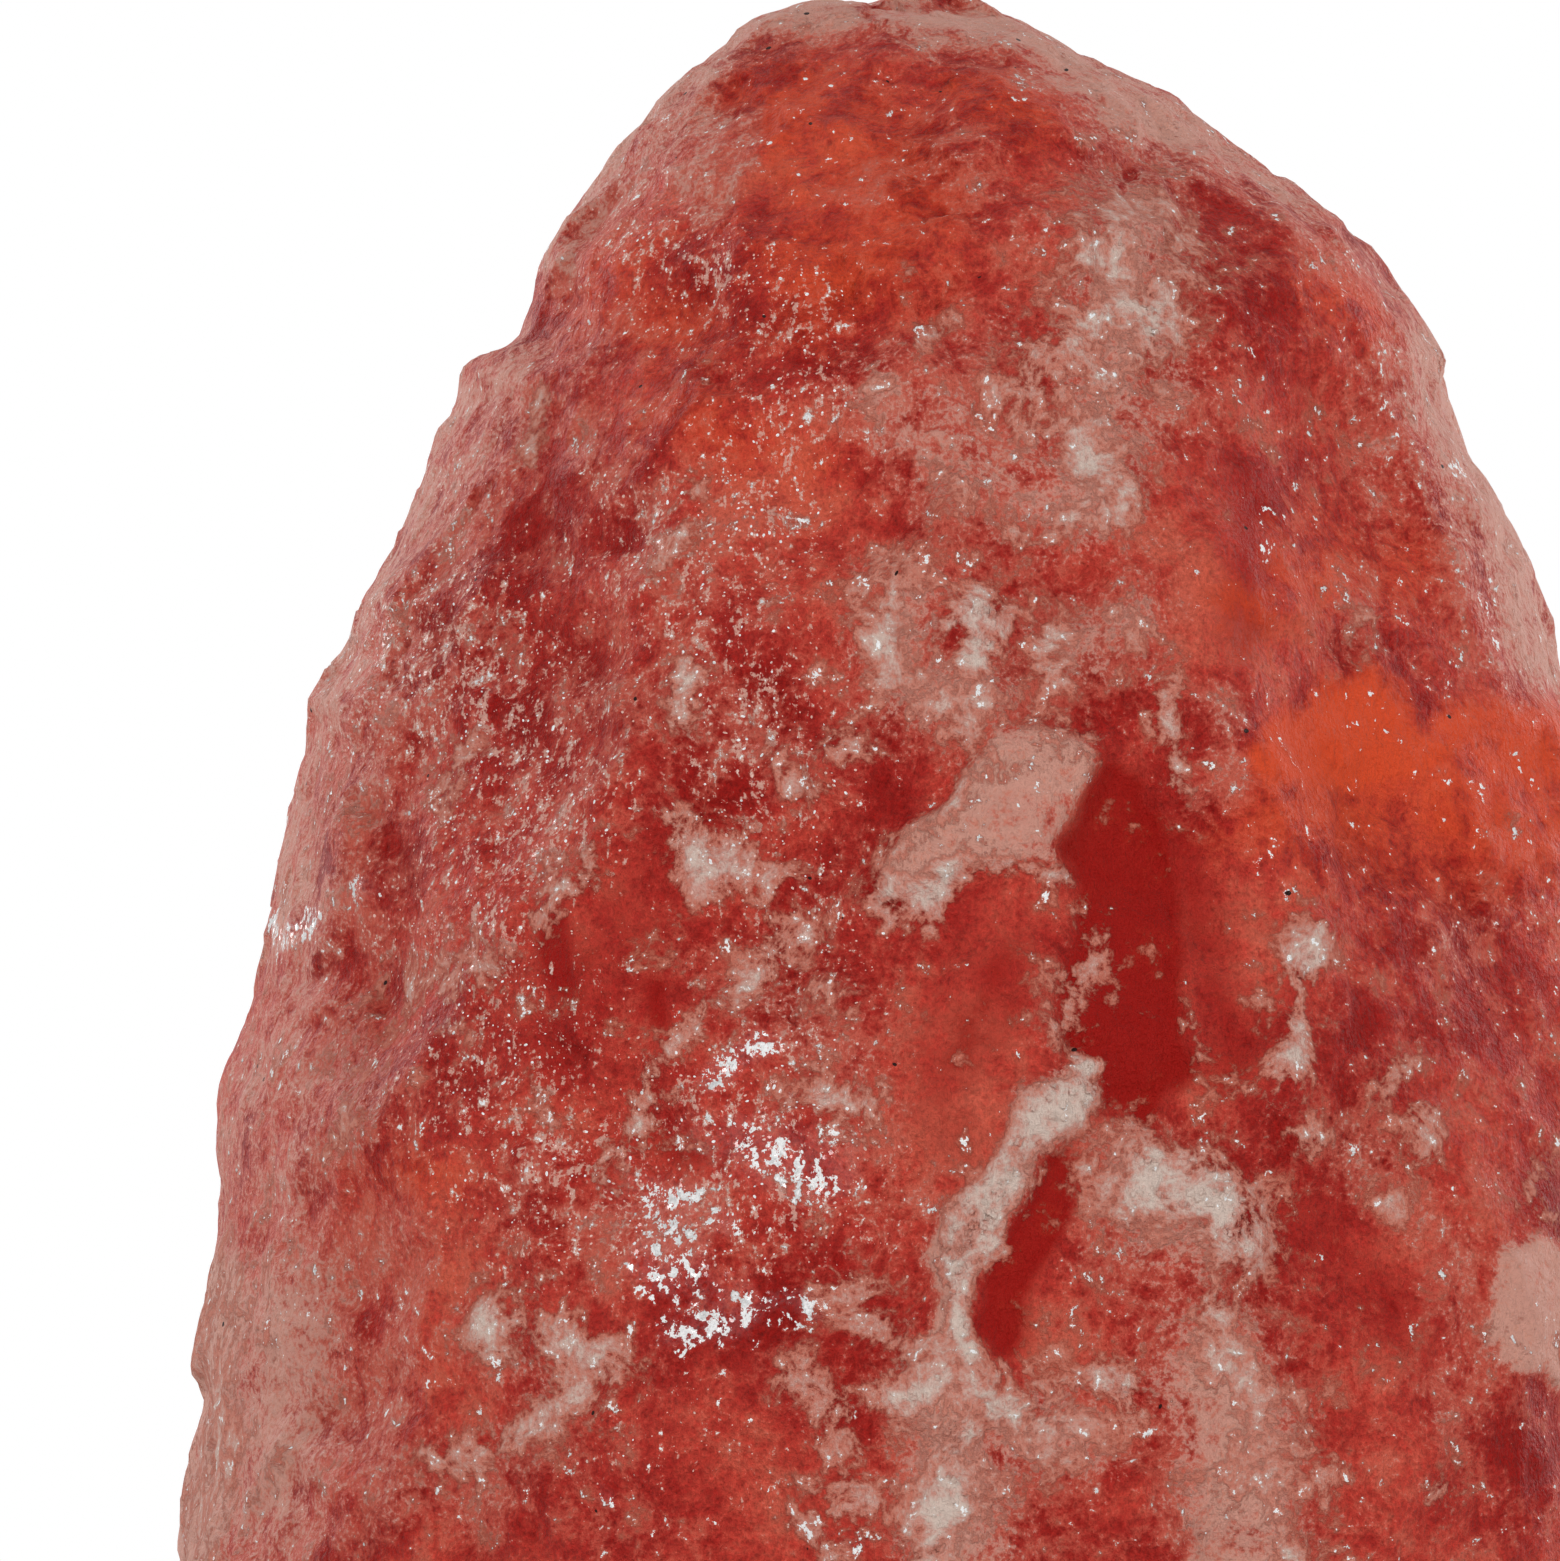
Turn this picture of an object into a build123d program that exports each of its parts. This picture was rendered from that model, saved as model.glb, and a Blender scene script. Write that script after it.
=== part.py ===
"""Salt crystal lamp: a hewn rock salt crystal, bored from below, on a turned wooden base.

A lamp unit (steel plate, small screw lampholder, pygmy bulb, two spring clips) pushes up into
the bore from underneath and pulls down again to change the bulb.

Frame: millimetres, +Z up, +X to the right and -Y towards the viewer. The origin is on the surface
that the feet stand on, under the middle of the lamp.
"""

import os
from math import cos, floor, pi, radians, sin, sqrt

from build123d import *

# ---------------------------------------------------------------- clearances
fit_gap = 0.1  # between fixed pieces that slip together
slide_gap = 0.2  # between pieces of different bodies that rest face to face
flex_gap = 0.3  # between a sprung piece and what it presses on or springs from

# ---------------------------------------------------------------- crystal
crystal_height = 178.0
crystal_width = 126.0
crystal_depth = 116.0
crystal_corners = 24  # hewn corners round each level, four of them at the quarter points
crystal_squareness = 2.3  # superellipse power of a level, 2 is an ellipse
hewing_bite = 0.035  # deepest hewn corner, as a share of its distance from the middle
hewing_swing = 0.3  # sideways wander of a corner, as a share of the spacing

# Levels of the rock: height, and how far it reaches to the left and to the right, as shares of the
# crystal's height and of half its width. Its depth follows the mean of left and right.
crystal_levels = [
    (0.000, 0.755, 0.745),
    (0.035, 0.850, 0.840),
    (0.100, 0.940, 0.930),
    (0.170, 0.984, 0.976),
    (0.250, 1.000, 1.000),
    (0.330, 0.985, 0.990),
    (0.410, 0.962, 0.970),
    (0.480, 0.938, 0.946),
    (0.560, 0.893, 0.900),
    (0.640, 0.851, 0.841),
    (0.710, 0.776, 0.768),
    (0.770, 0.705, 0.697),
    (0.830, 0.626, 0.637),
    (0.885, 0.532, 0.538),
    (0.930, 0.430, 0.395),
    (0.965, 0.345, 0.235),
    (0.990, 0.268, 0.085),
    (1.000, 0.205, -0.005),
]

# Flats struck off the rock: compass angle from +X, upward tilt, and depth off the furthest point as a
# share of the crystal's width.
struck_flats = [
    (-100, 12, 0.021),
    (-48, 18, 0.027),
    (-136, 20, 0.021),
    (-118, 46, 0.014),
    (44, 20, 0.029),
    (92, 14, 0.024),
    (134, 18, 0.027),
    (70, 44, 0.019),
    (-62, -22, 0.024),
    (-128, -26, 0.021),
    (38, -24, 0.024),
    (122, -20, 0.025),
]
# Shell-shaped scars where flakes came off: compass angle from +X and upward tilt of a line from the
# crystal's axis, the height at which it leaves the axis as a share of the crystal's, and the scar's
# half width and depth as shares of the crystal's width.
flake_scars = [
    (-73, 0, 0.60, 0.090, 0.016),
    (-76, 0, 0.49, 0.080, 0.014),
    (-47, 0, 0.66, 0.085, 0.014),
    (-133, 12, 0.80, 0.070, 0.013),
    (-107, 10, 0.73, 0.080, 0.013),
    (-130, 0, 0.69, 0.088, 0.015),
    (-108, 0, 0.60, 0.078, 0.013),
    (-146, 0, 0.56, 0.085, 0.015),
    (-120, 0, 0.48, 0.085, 0.014),
    (-98, 0, 0.45, 0.072, 0.012),
    (-84, -4, 0.38, 0.070, 0.014),
    (-57, 0, 0.45, 0.085, 0.014),
    (-142, 0, 0.40, 0.088, 0.015),
    (-108, 0, 0.33, 0.090, 0.015),
    (-62, 14, 0.78, 0.072, 0.012),
    (-86, 6, 0.70, 0.070, 0.012),
    (-40, 8, 0.74, 0.072, 0.012),
    (-100, 52, 0.80, 0.065, 0.012),
    (-50, 40, 0.76, 0.075, 0.013),
    (-34, 0, 0.36, 0.085, 0.014),
    (-64, 0, 0.26, 0.090, 0.014),
    (-128, 0, 0.21, 0.085, 0.013),
    (-92, 0, 0.16, 0.075, 0.012),
    (-14, 0, 0.56, 0.088, 0.015),
    (-15, 0, 0.30, 0.085, 0.014),
    (26, 12, 0.70, 0.080, 0.014),
    (20, 0, 0.44, 0.090, 0.015),
    (34, 0, 0.18, 0.080, 0.013),
    (56, 0, 0.60, 0.085, 0.014),
    (60, 34, 0.74, 0.080, 0.014),
    (66, 0, 0.36, 0.090, 0.015),
    (86, 0, 0.54, 0.085, 0.014),
    (94, 8, 0.71, 0.078, 0.013),
    (100, 0, 0.22, 0.085, 0.013),
    (116, 0, 0.42, 0.088, 0.015),
    (134, 10, 0.66, 0.082, 0.014),
    (148, 0, 0.30, 0.085, 0.014),
    (146, 0, 0.52, 0.085, 0.014),
    (146, 38, 0.76, 0.075, 0.013),
    (163, 0, 0.66, 0.078, 0.013),
    (170, 0, 0.40, 0.085, 0.014),
    (-164, 0, 0.19, 0.080, 0.012),
]

# ---------------------------------------------------------------- lampholder
holder_radius = 13.5
holder_wall = 1.6
cap_height = 16.0
cap_floor = 4.0
cap_waist_radius = 9.0
cap_waist_height = 3.5
cap_bell_rise = 5.5  # height of the curve from the waist out to full size
cap_flutes = 20
cap_flute_radius = 0.8
cap_flute_margin = 1.2  # plain band above the flutes
spigot_height = 5.0
spigot_wall = 1.5
carrier_height = 10.8
carrier_pocket_depth = 4.6
pocket_margin = 0.5  # from the centre terminal to the pocket's wall
rim_opening_room = 1.7  # round the bulb cap's lip
rim_thickness = 2.0
rim_round = 0.7
rim_above_shell = 6.7  # from the top of the screw shell to the top of the holder

# ---------------------------------------------------------------- contacts
thread_play = 0.35  # radial, between the bulb's cap and the screw shell
screw_shell_wall = 0.35
screw_shell_length = 15.5
screw_shell_flare = 0.8
screw_shell_floor_width = 1.9  # inturned floor of the shell
tongue_width = 4.0
tongue_thickness = 0.5
tongue_rise = 1.9
tongue_root_x = -5.4
tongue_tip_x = 1.4
tongue_crown = 2.2  # flat length under the bulb's tip
terminal_width = 4.6
terminal_thickness = 0.6
terminal_tail_length = 6.5  # below the carrier
side_terminal_wall = 0.8  # ceramic between the pocket and the side terminal
side_ledge_overlap = 0.9  # how far the side terminal reaches out over the pocket
terminal_screw_radius = 1.2
terminal_screw_head_radius = 1.9
terminal_screw_head_height = 1.0
terminal_screw_slot = 0.6
terminal_screw_length = 4.2

# ---------------------------------------------------------------- spring clips
clip_space = 8.5  # from the holder out to the bore's wall
clip_width = 12.0
clip_thickness = 0.6
clip_lean = 4.6  # from the root out to the crest
clip_crest_height = 28.0
clip_crest_length = 4.0
clip_tip_height = 40.0
clip_tip_in = 2.6  # how far the tip turns back in from the crest
clip_bend_radius = 3.0
rivet_radius = 1.0
rivet_head_radius = 1.6
rivet_head_height = 0.8
rivet_tail_height = 0.5
rivet_spacing = 6.4

# ---------------------------------------------------------------- plate, nipple, nut and washer
plate_overlap = 6.0  # how far the plate reaches past the bore
plate_thickness = 1.2
plate_rim_drop = 3.2
plate_rim_round = 1.5
nipple_radius = 5.0
nipple_wall = 1.25  # the flex comes in through the nipple's bore
nipple_above_cap_floor = 5.0
nipple_below_nut = 0.9
nipple_end_chamfer = 0.4
nut_across_flats = 14.0
nut_thickness = 2.8
nut_chamfer = 0.6
washer_radius = 8.6
washer_thickness = 0.7
washer_teeth = 12
washer_notch_radius = 1.1

# ---------------------------------------------------------------- wooden base
base_radius = 56.0
base_thickness = 24.0
base_foot_inset = 3.0  # the side curves in by this much at the foot
base_foot_rise = 9.0  # over this height
base_step_height = 1.5  # small turned step under the rounded top
base_step_inset = 1.6
base_top_round = 5.0
recess_room = 2.0  # round the lamp unit's plate
recess_depth = 9.0
groove_width = 9.0  # underside channel for the flex, out at the back
groove_depth = 7.5

# ---------------------------------------------------------------- feet
foot_count = 4
foot_height = 5.0
foot_top_radius = 6.5
foot_bottom_radius = 5.6
foot_edge_round = 0.8
foot_inset = 10.0  # from the base's edge to the foot's middle
foot_recess_radius = 3.5
foot_recess_depth = 2.6
foot_screw_radius = 1.5
foot_screw_length = 14.0
foot_screw_head_radius = 3.0
foot_screw_head_height = 1.6
pilot_beyond = 1.0  # pilot hole past a screw's point

# ---------------------------------------------------------------- screws into the crystal
fixing_angles = (0.0, 180.0, 270.0)  # the fourth quarter is the flex groove's
fixing_margin = 7.0  # from the recess to the screws' circle
fixing_shank_radius = 2.25
fixing_in_plug = 22.0
fixing_head_radius = 4.0
fixing_head_height = 2.6
fixing_head_room = 0.7
counterbore_depth = 6.0
plug_radius = 4.0
plug_beyond = 4.0  # plug past the screw's point
plug_ribs = 6
plug_rib_depth = 0.5
cross_recess_width = 0.9
cross_recess_depth = 1.3

# ---------------------------------------------------------------- bulb
bulb_length = 56.0
bulb_radius = 13.0
bulb_wall = 0.7
cap_thread_radius = 6.95
cap_wall = 0.3
cap_shell_length = 18.0
cap_edge_round = 1.2
cap_lip_flare = 0.75
cap_lip_height = 2.2
tip_radius = 2.4
tip_height = 1.4
tip_dome = 0.6
insulator_height = 2.8
insulator_shoulder = 0.6  # round the tip
neck_play = 0.35  # cement between the glass and the cap
neck_rise = 3.0
stem_rod_radius = 1.8
stem_height = 14.0
stem_flare_edge = 0.7
stem_flare_height = 6.0
press_length = 6.4  # flattened top of the stem
press_thickness = 1.8
press_height = 4.0
filament_half_span = 7.0
filament_drop = 10.5  # below the top of the bulb
filament_bow = 1.6
filament_radius = 0.4
lead_radius = 0.3
lead_root_x = 2.0
support_radius = 0.18
support_root_x = 0.8
support_x = 3.0
wire_straight = 2.5  # straight ends of the leads and supports
wire_bend = 1.2

# ---------------------------------------------------------------- how far the bulb unscrews
thread_pitch = 2.822  # rise of the 14 mm lamp thread in one turn
unscrew_turns = 4.5
roof_room = 8.0  # above the unscrewed bulb, to the roof of the bore
roof_round = 8.0

# ---------------------------------------------------------------- radii that follow
bore_radius = holder_radius + clip_space
holder_bore_radius = holder_radius - holder_wall
spigot_radius = holder_bore_radius - fit_gap
plate_radius = bore_radius + plate_overlap
recess_radius = plate_radius + recess_room
fixing_circle_radius = recess_radius + fixing_margin
foot_circle_radius = base_radius - foot_inset
nipple_hole_radius = nipple_radius + fit_gap
centre_terminal_x = tongue_root_x - flex_gap  # its face towards the tongue
pocket_radius = terminal_thickness + pocket_margin - centre_terminal_x
side_terminal_x = pocket_radius + side_terminal_wall
screw_shell_radius = cap_thread_radius + thread_play
cap_lip_radius = cap_thread_radius + cap_lip_flare
rim_opening_radius = cap_lip_radius + rim_opening_room
neck_radius = cap_thread_radius - cap_wall - neck_play
clip_crest_x = sqrt(bore_radius**2 - (clip_width / 2) ** 2) - flex_gap
clip_root_x = clip_crest_x - clip_lean

# ---------------------------------------------------------------- heights that follow
base_bottom_z = foot_height
base_top_z = base_bottom_z + base_thickness
fixing_shoulder_z = base_bottom_z + counterbore_depth
fixing_length = base_top_z - fixing_shoulder_z + fixing_in_plug
plug_length = fixing_in_plug + plug_beyond
recess_ceiling_z = base_bottom_z + recess_depth
plate_top_z = recess_ceiling_z - slide_gap
plate_bottom_z = plate_top_z - plate_thickness
washer_bottom_z = plate_bottom_z - washer_thickness
nut_bottom_z = washer_bottom_z - nut_thickness
cap_top_z = plate_top_z + cap_height
spigot_top_z = cap_top_z + spigot_height
carrier_top_z = spigot_top_z + carrier_height
pocket_floor_z = carrier_top_z - carrier_pocket_depth
tongue_root_z = pocket_floor_z + fit_gap + tongue_thickness / 2
tongue_crown_z = tongue_root_z + tongue_rise
terminal_tail_z = spigot_top_z - terminal_tail_length
terminal_screw_z = terminal_tail_z + terminal_width / 2
holder_top_z = carrier_top_z + screw_shell_length + rim_above_shell
bulb_tip_z = tongue_crown_z + tongue_thickness / 2 + flex_gap
bulb_top_z = bulb_tip_z + bulb_length
cap_shell_bottom_z = bulb_tip_z + tip_height + insulator_height
cap_shell_top_z = cap_shell_bottom_z + cap_shell_length
glass_bottom_z = cap_shell_top_z - cap_lip_height
stem_top_z = glass_bottom_z + stem_height
filament_z = bulb_top_z - filament_drop
roof_z = bulb_top_z + thread_pitch * unscrew_turns + roof_room

standing = (Align.CENTER, Align.CENTER, Align.MIN)
hanging = (Align.CENTER, Align.CENTER, Align.MAX)


# ---------------------------------------------------------------- small helpers
def turned(*edges):
    """A solid of revolution about Z from the edges of its section, drawn as radius and height."""
    return revolve(Plane.XZ * make_face(list(edges)), Axis.Z)


def turned_corners(*corners):
    """A solid of revolution about Z from the corners of its section."""
    return turned(Polyline(*corners, close=True))


def rod(radius, bottom_z, top_z):
    """An upright cylinder on the Z axis."""
    return Pos(0, 0, bottom_z) * Cylinder(radius, top_z - bottom_z, align=standing)


def block(x_span, y_span, z_span):
    """A box from its (low, high) spans."""
    spans = (x_span, y_span, z_span)
    middle = [(low + high) / 2 for low, high in spans]
    return Pos(*middle) * Box(*[high - low for low, high in spans])


def dome(radius, edge_z, rise):
    """Arc of a sphere's section, from the edge (radius, edge_z) to the axis at edge_z + rise."""
    ball = (radius**2 + rise**2) / (2 * abs(rise))
    way = 1 if rise > 0 else -1
    middle_z = edge_z + rise - way * (ball - sqrt(ball**2 - (radius / 2) ** 2))
    return ThreePointArc((radius, edge_z), (radius / 2, middle_z), (0, edge_z + rise))


def around(shape, radius, angles):
    """Copies of a shape drawn on the Z axis, moved out to a circle at these angles."""
    return [Rot(0, 0, angle) * Pos(radius, 0, 0) * shape for angle in angles]


def even_angles(count):
    """Angles of a full circle's even parts."""
    return [360 / count * n for n in range(count)]


def group(solids):
    """Several separate solids as one node."""
    return Compound(children=list(solids))


# ---------------------------------------------------------------- the crystal
def uneven(level, corner):
    """A repeatable uneven number from 0 to 1 for a corner of a level."""
    mixed = sin(12.9898 * (level + 1) + 78.233 * (corner + 1)) * 43758.5453
    return mixed - floor(mixed)


def level_corners(index):
    """One level of the rock: corners that stand a little in from a superellipse."""
    share, left, right = crystal_levels[index]
    half_width = (left + right) / 2 * crystal_width / 2
    half_depth = (left + right) / 2 * crystal_depth / 2
    middle_x = (right - left) / 2 * crystal_width / 2
    power = 2 / crystal_squareness
    corners = []
    for corner in range(crystal_corners):
        hewn = corner % (crystal_corners // 4) != 0
        swing = hewing_swing * (uneven(index, corner) - 0.5) if hewn else 0
        bite = hewing_bite * uneven(index + len(crystal_levels), corner) if hewn else 0
        angle = 2 * pi / crystal_corners * (corner + swing)
        x = abs(cos(angle)) ** power * (1 if cos(angle) > 0 else -1)
        y = abs(sin(angle)) ** power * (1 if sin(angle) > 0 else -1)
        place = (middle_x + half_width * x * (1 - bite), half_depth * y * (1 - bite))
        corners.append(Vector(*place, base_top_z + share * crystal_height))
    return corners


def strike_off(rock, corners, flat):
    """The rock with one flat struck off square to the flat's direction."""
    compass, tilt, depth_share = flat
    level = cos(radians(tilt))
    outward = Vector(level * cos(radians(compass)), level * sin(radians(compass)), sin(radians(tilt)))
    reach = max(corner.dot(outward) for corner in corners) - depth_share * crystal_width
    return split(rock, bisect_by=Plane(origin=outward * reach, z_dir=outward), keep=Keep.BOTTOM)


def scar_ball(rock, scar):
    """The ball that takes one shallow scar out of the rock where the scar's line leaves it."""
    compass, tilt, height_share, half_width_share, depth_share = scar
    level = cos(radians(tilt))
    outward = Vector(level * cos(radians(compass)), level * sin(radians(compass)), sin(radians(tilt)))
    line = Axis((0, 0, base_top_z + height_share * crystal_height), outward)
    place, normal = max(rock.find_intersection_points(line), key=lambda hit: hit[0].dot(outward))
    if normal.dot(outward) < 0:
        normal = -normal
    half_width = half_width_share * crystal_width
    depth = depth_share * crystal_width
    ball_radius = (half_width**2 + depth**2) / (2 * depth)
    return Pos(place + normal * (ball_radius - depth)) * Sphere(ball_radius)


def salt_crystal():
    """The rock with its sawn foot, the blind bore for the lamp unit and the holes for the plugs."""
    levels = [level_corners(index) for index in range(len(crystal_levels))]
    rock = loft([make_face(Polyline(*corners, close=True)) for corners in levels], ruled=True)
    for flat in struck_flats:
        rock = strike_off(rock, sum(levels, []), flat)
    rock -= [scar_ball(rock, scar) for scar in flake_scars]
    bore = rod(bore_radius, base_top_z, roof_z)
    rock -= fillet(bore.edges().sort_by(Axis.Z)[-1], min(roof_round, 0.9 * bore_radius))
    plug_hole = rod(plug_radius + fit_gap, base_top_z, base_top_z + plug_length + fit_gap)
    for hole in around(plug_hole, fixing_circle_radius, fixing_angles):
        rock -= hole
    return rock


# ---------------------------------------------------------------- the base and what fastens it
def foot_angles():
    """The feet stand between the fixing screws and the flex groove."""
    return [angle + 180 / foot_count for angle in even_angles(foot_count)]


def wooden_base():
    """A turned disc with a curved foot, a small step and a rounded top, bored and recessed."""
    foot_edge = (base_radius - base_foot_inset, base_bottom_z)
    belly = (base_radius, base_bottom_z + base_foot_rise)
    round_z = base_top_z - base_top_round
    step_z = round_z - base_step_height
    step_radius = base_radius - base_step_inset
    top_radius = step_radius - base_top_round
    disc = turned(
        Polyline((0, base_top_z), (0, base_bottom_z), foot_edge),
        TangentArc(belly, foot_edge, tangent=(0, -1)),
        Polyline(belly, (base_radius, step_z), (step_radius, step_z), (step_radius, round_z)),
        CenterArc((top_radius, round_z), base_top_round, 0, 90),
        Line((top_radius, base_top_z), (0, base_top_z)),
    )
    disc -= rod(bore_radius, base_bottom_z, base_top_z)
    disc -= rod(recess_radius, base_bottom_z, recess_ceiling_z)
    groove_z = (base_bottom_z, base_bottom_z + groove_depth)
    disc -= block((-groove_width / 2, groove_width / 2), (0, base_radius), groove_z)
    clear_hole = rod(fixing_shank_radius + fit_gap, base_bottom_z, base_top_z)
    clear_hole += rod(fixing_head_radius + fixing_head_room, base_bottom_z, fixing_shoulder_z)
    foot_screw_point_z = foot_recess_depth + foot_screw_length
    pilot = rod(foot_screw_radius + fit_gap, base_bottom_z, foot_screw_point_z + pilot_beyond)
    holes = around(clear_hole, fixing_circle_radius, fixing_angles)
    holes += around(pilot, foot_circle_radius, foot_angles())
    for hole in holes:
        disc -= hole
    return disc


def pan_screw(shoulder_z, shank_radius, length, head_radius, head_height):
    """A pan-head screw driven upwards: rounded head below the shoulder, plain shank, pointed end."""
    point_z = shoulder_z + length
    flat_z = shoulder_z - head_height
    flat_radius = head_radius - 0.75 * head_height
    screw = turned(
        Line((0, flat_z), (flat_radius, flat_z)),
        JernArc((flat_radius, flat_z), tangent=(1, 0), radius=0.75 * head_height, arc_size=90),
        Polyline(
            (head_radius, shoulder_z - 0.25 * head_height),
            (head_radius, shoulder_z),
            (shank_radius, shoulder_z),
            (shank_radius, point_z - 2 * shank_radius),
            (0, point_z),
            (0, flat_z),
        ),
    )
    depth = min(cross_recess_depth, 0.6 * head_height)
    arm = block(
        (-0.6 * head_radius, 0.6 * head_radius),
        (-cross_recess_width / 2, cross_recess_width / 2),
        (flat_z - 1, flat_z + depth),
    )
    return screw - arm - Rot(0, 0, 90) * arm


def fixing_screws():
    """Screws from the counterbores in the base up into the plugs in the crystal."""
    screw = pan_screw(
        fixing_shoulder_z, fixing_shank_radius, fixing_length, fixing_head_radius, fixing_head_height
    )
    return group(around(screw, fixing_circle_radius, fixing_angles))


def screw_plugs():
    """Ribbed nylon plugs set in the crystal's foot."""
    plug = rod(plug_radius, base_top_z, base_top_z + plug_length)
    for rib in range(plug_ribs):
        low = base_top_z + plug_length * (rib + 1) / (plug_ribs + 1)
        plug -= turned_corners(
            (plug_radius, low),
            (plug_radius - plug_rib_depth, low + plug_rib_depth),
            (plug_radius, low + plug_rib_depth),
        )
    plug -= rod(fixing_shank_radius + fit_gap, base_top_z, base_top_z + fixing_in_plug + pilot_beyond)
    return group(around(plug, fixing_circle_radius, fixing_angles))


def rubber_feet():
    """Tapered bumpers with a recess that hides the screw."""
    edge_radius = foot_bottom_radius - foot_edge_round
    foot = turned(
        Line((foot_recess_radius, 0), (edge_radius, 0)),
        CenterArc((edge_radius, foot_edge_round), foot_edge_round, -90, 90),
        Polyline(
            (foot_bottom_radius, foot_edge_round),
            (foot_top_radius, foot_height),
            (foot_screw_radius + fit_gap, foot_height),
            (foot_screw_radius + fit_gap, foot_recess_depth),
            (foot_recess_radius, foot_recess_depth),
            (foot_recess_radius, 0),
        ),
    )
    return group(around(foot, foot_circle_radius, foot_angles()))


def foot_screws():
    """One small screw through each foot into the wood."""
    screw = pan_screw(
        foot_recess_depth,
        foot_screw_radius,
        foot_screw_length,
        foot_screw_head_radius,
        foot_screw_head_height,
    )
    return group(around(screw, foot_circle_radius, foot_angles()))


# ---------------------------------------------------------------- the lamp unit
def mounting_plate():
    """Pressed steel disc that closes the bore, with a turned-down rim to pull it by."""
    round_radius = plate_radius - plate_rim_round
    rim_z = plate_top_z - plate_rim_drop
    rim_inner = plate_radius - plate_thickness
    plate = turned(
        Line((nipple_hole_radius, plate_top_z), (round_radius, plate_top_z)),
        CenterArc((round_radius, plate_top_z - plate_rim_round), plate_rim_round, 0, 90),
        Polyline(
            (plate_radius, plate_top_z - plate_rim_round),
            (plate_radius, rim_z),
            (rim_inner, rim_z),
            (rim_inner, plate_bottom_z),
            (nipple_hole_radius, plate_bottom_z),
            (nipple_hole_radius, plate_top_z),
        ),
    )
    for hole in rivet_set(rod(rivet_radius + fit_gap, plate_bottom_z, plate_top_z)):
        plate -= hole
    return plate


def lock_washer():
    """Toothed washer between the plate and the nut."""
    ring = rod(washer_radius, washer_bottom_z, plate_bottom_z)
    ring -= rod(nipple_hole_radius, washer_bottom_z, plate_bottom_z)
    notch = rod(washer_notch_radius, washer_bottom_z, plate_bottom_z)
    for cut in around(notch, washer_radius, even_angles(washer_teeth)):
        ring -= cut
    return ring


def nipple_nut():
    """Hexagon nut that clamps the plate against the lampholder."""
    hexagon = RegularPolygon(nut_across_flats / 2, 6, major_radius=False)
    nut = extrude(Pos(0, 0, nut_bottom_z) * hexagon, nut_thickness)
    corner_radius = nut_across_flats / sqrt(3)
    nut &= turned_corners(
        (0, nut_bottom_z),
        (corner_radius - nut_chamfer, nut_bottom_z),
        (corner_radius, nut_bottom_z + nut_chamfer),
        (corner_radius, washer_bottom_z),
        (0, washer_bottom_z),
    )
    return nut - rod(nipple_hole_radius, nut_bottom_z, washer_bottom_z)


def hollow_nipple():
    """Threaded tube through the nut, plate and holder cap, and the way in for the flex."""
    bottom_z = nut_bottom_z - nipple_below_nut
    top_z = plate_top_z + cap_floor + nipple_above_cap_floor
    tube = rod(nipple_radius, bottom_z, top_z)
    tube = chamfer(tube.edges().filter_by(GeomType.CIRCLE), nipple_end_chamfer)
    return tube - rod(nipple_radius - nipple_wall, bottom_z, top_z)


def holder_cap():
    """Lower half of the lampholder: a bell with finger flutes and a spigot on top."""
    waist_z = plate_top_z + cap_waist_height
    bell_z = waist_z + cap_bell_rise
    inner_radius = spigot_radius - spigot_wall
    waist = (cap_waist_radius, waist_z)
    bell = turned(
        Polyline((nipple_hole_radius, plate_top_z), (cap_waist_radius, plate_top_z), waist),
        TangentArc((holder_radius, bell_z), waist, tangent=(0, -1)),
        Polyline(
            (holder_radius, bell_z),
            (holder_radius, cap_top_z),
            (spigot_radius, cap_top_z),
            (spigot_radius, spigot_top_z),
            (inner_radius, spigot_top_z),
            (inner_radius, bell_z),
            (cap_waist_radius - holder_wall, plate_top_z + cap_floor),
            (nipple_hole_radius, plate_top_z + cap_floor),
            (nipple_hole_radius, plate_top_z),
        ),
    )
    flute = rod(cap_flute_radius, bell_z - cap_flute_radius, cap_top_z - cap_flute_margin)
    for cut in around(flute, holder_radius, even_angles(cap_flutes)):
        bell -= cut
    return bell


def holder_shell():
    """Upper half of the lampholder: a plain tube with an inturned rim round the bulb's cap."""
    rim_z = holder_top_z - rim_thickness
    round_z = holder_top_z - rim_round
    round_radius = holder_radius - rim_round
    return turned(
        Polyline((holder_bore_radius, cap_top_z), (holder_radius, cap_top_z), (holder_radius, round_z)),
        CenterArc((round_radius, round_z), rim_round, 0, 90),
        Polyline(
            (round_radius, holder_top_z),
            (rim_opening_radius, holder_top_z),
            (rim_opening_radius, rim_z),
            (holder_bore_radius, rim_z),
            (holder_bore_radius, cap_top_z),
        ),
    )


def contact_carrier():
    """Ceramic insert that holds both contacts, with a pocket under the centre contact."""
    puck = rod(spigot_radius, spigot_top_z, carrier_top_z)
    puck -= rod(pocket_radius, pocket_floor_z, carrier_top_z)
    side = terminal_width / 2 + fit_gap
    for low_x in (centre_terminal_x - terminal_thickness, side_terminal_x):
        slot_x = (low_x - fit_gap, low_x + terminal_thickness + fit_gap)
        puck -= block(slot_x, (-side, side), (spigot_top_z, carrier_top_z))
    ledge_x = (pocket_radius - side_ledge_overlap, side_terminal_x)
    return puck - block(ledge_x, (-side, side), (carrier_top_z - terminal_thickness, carrier_top_z))


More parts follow.
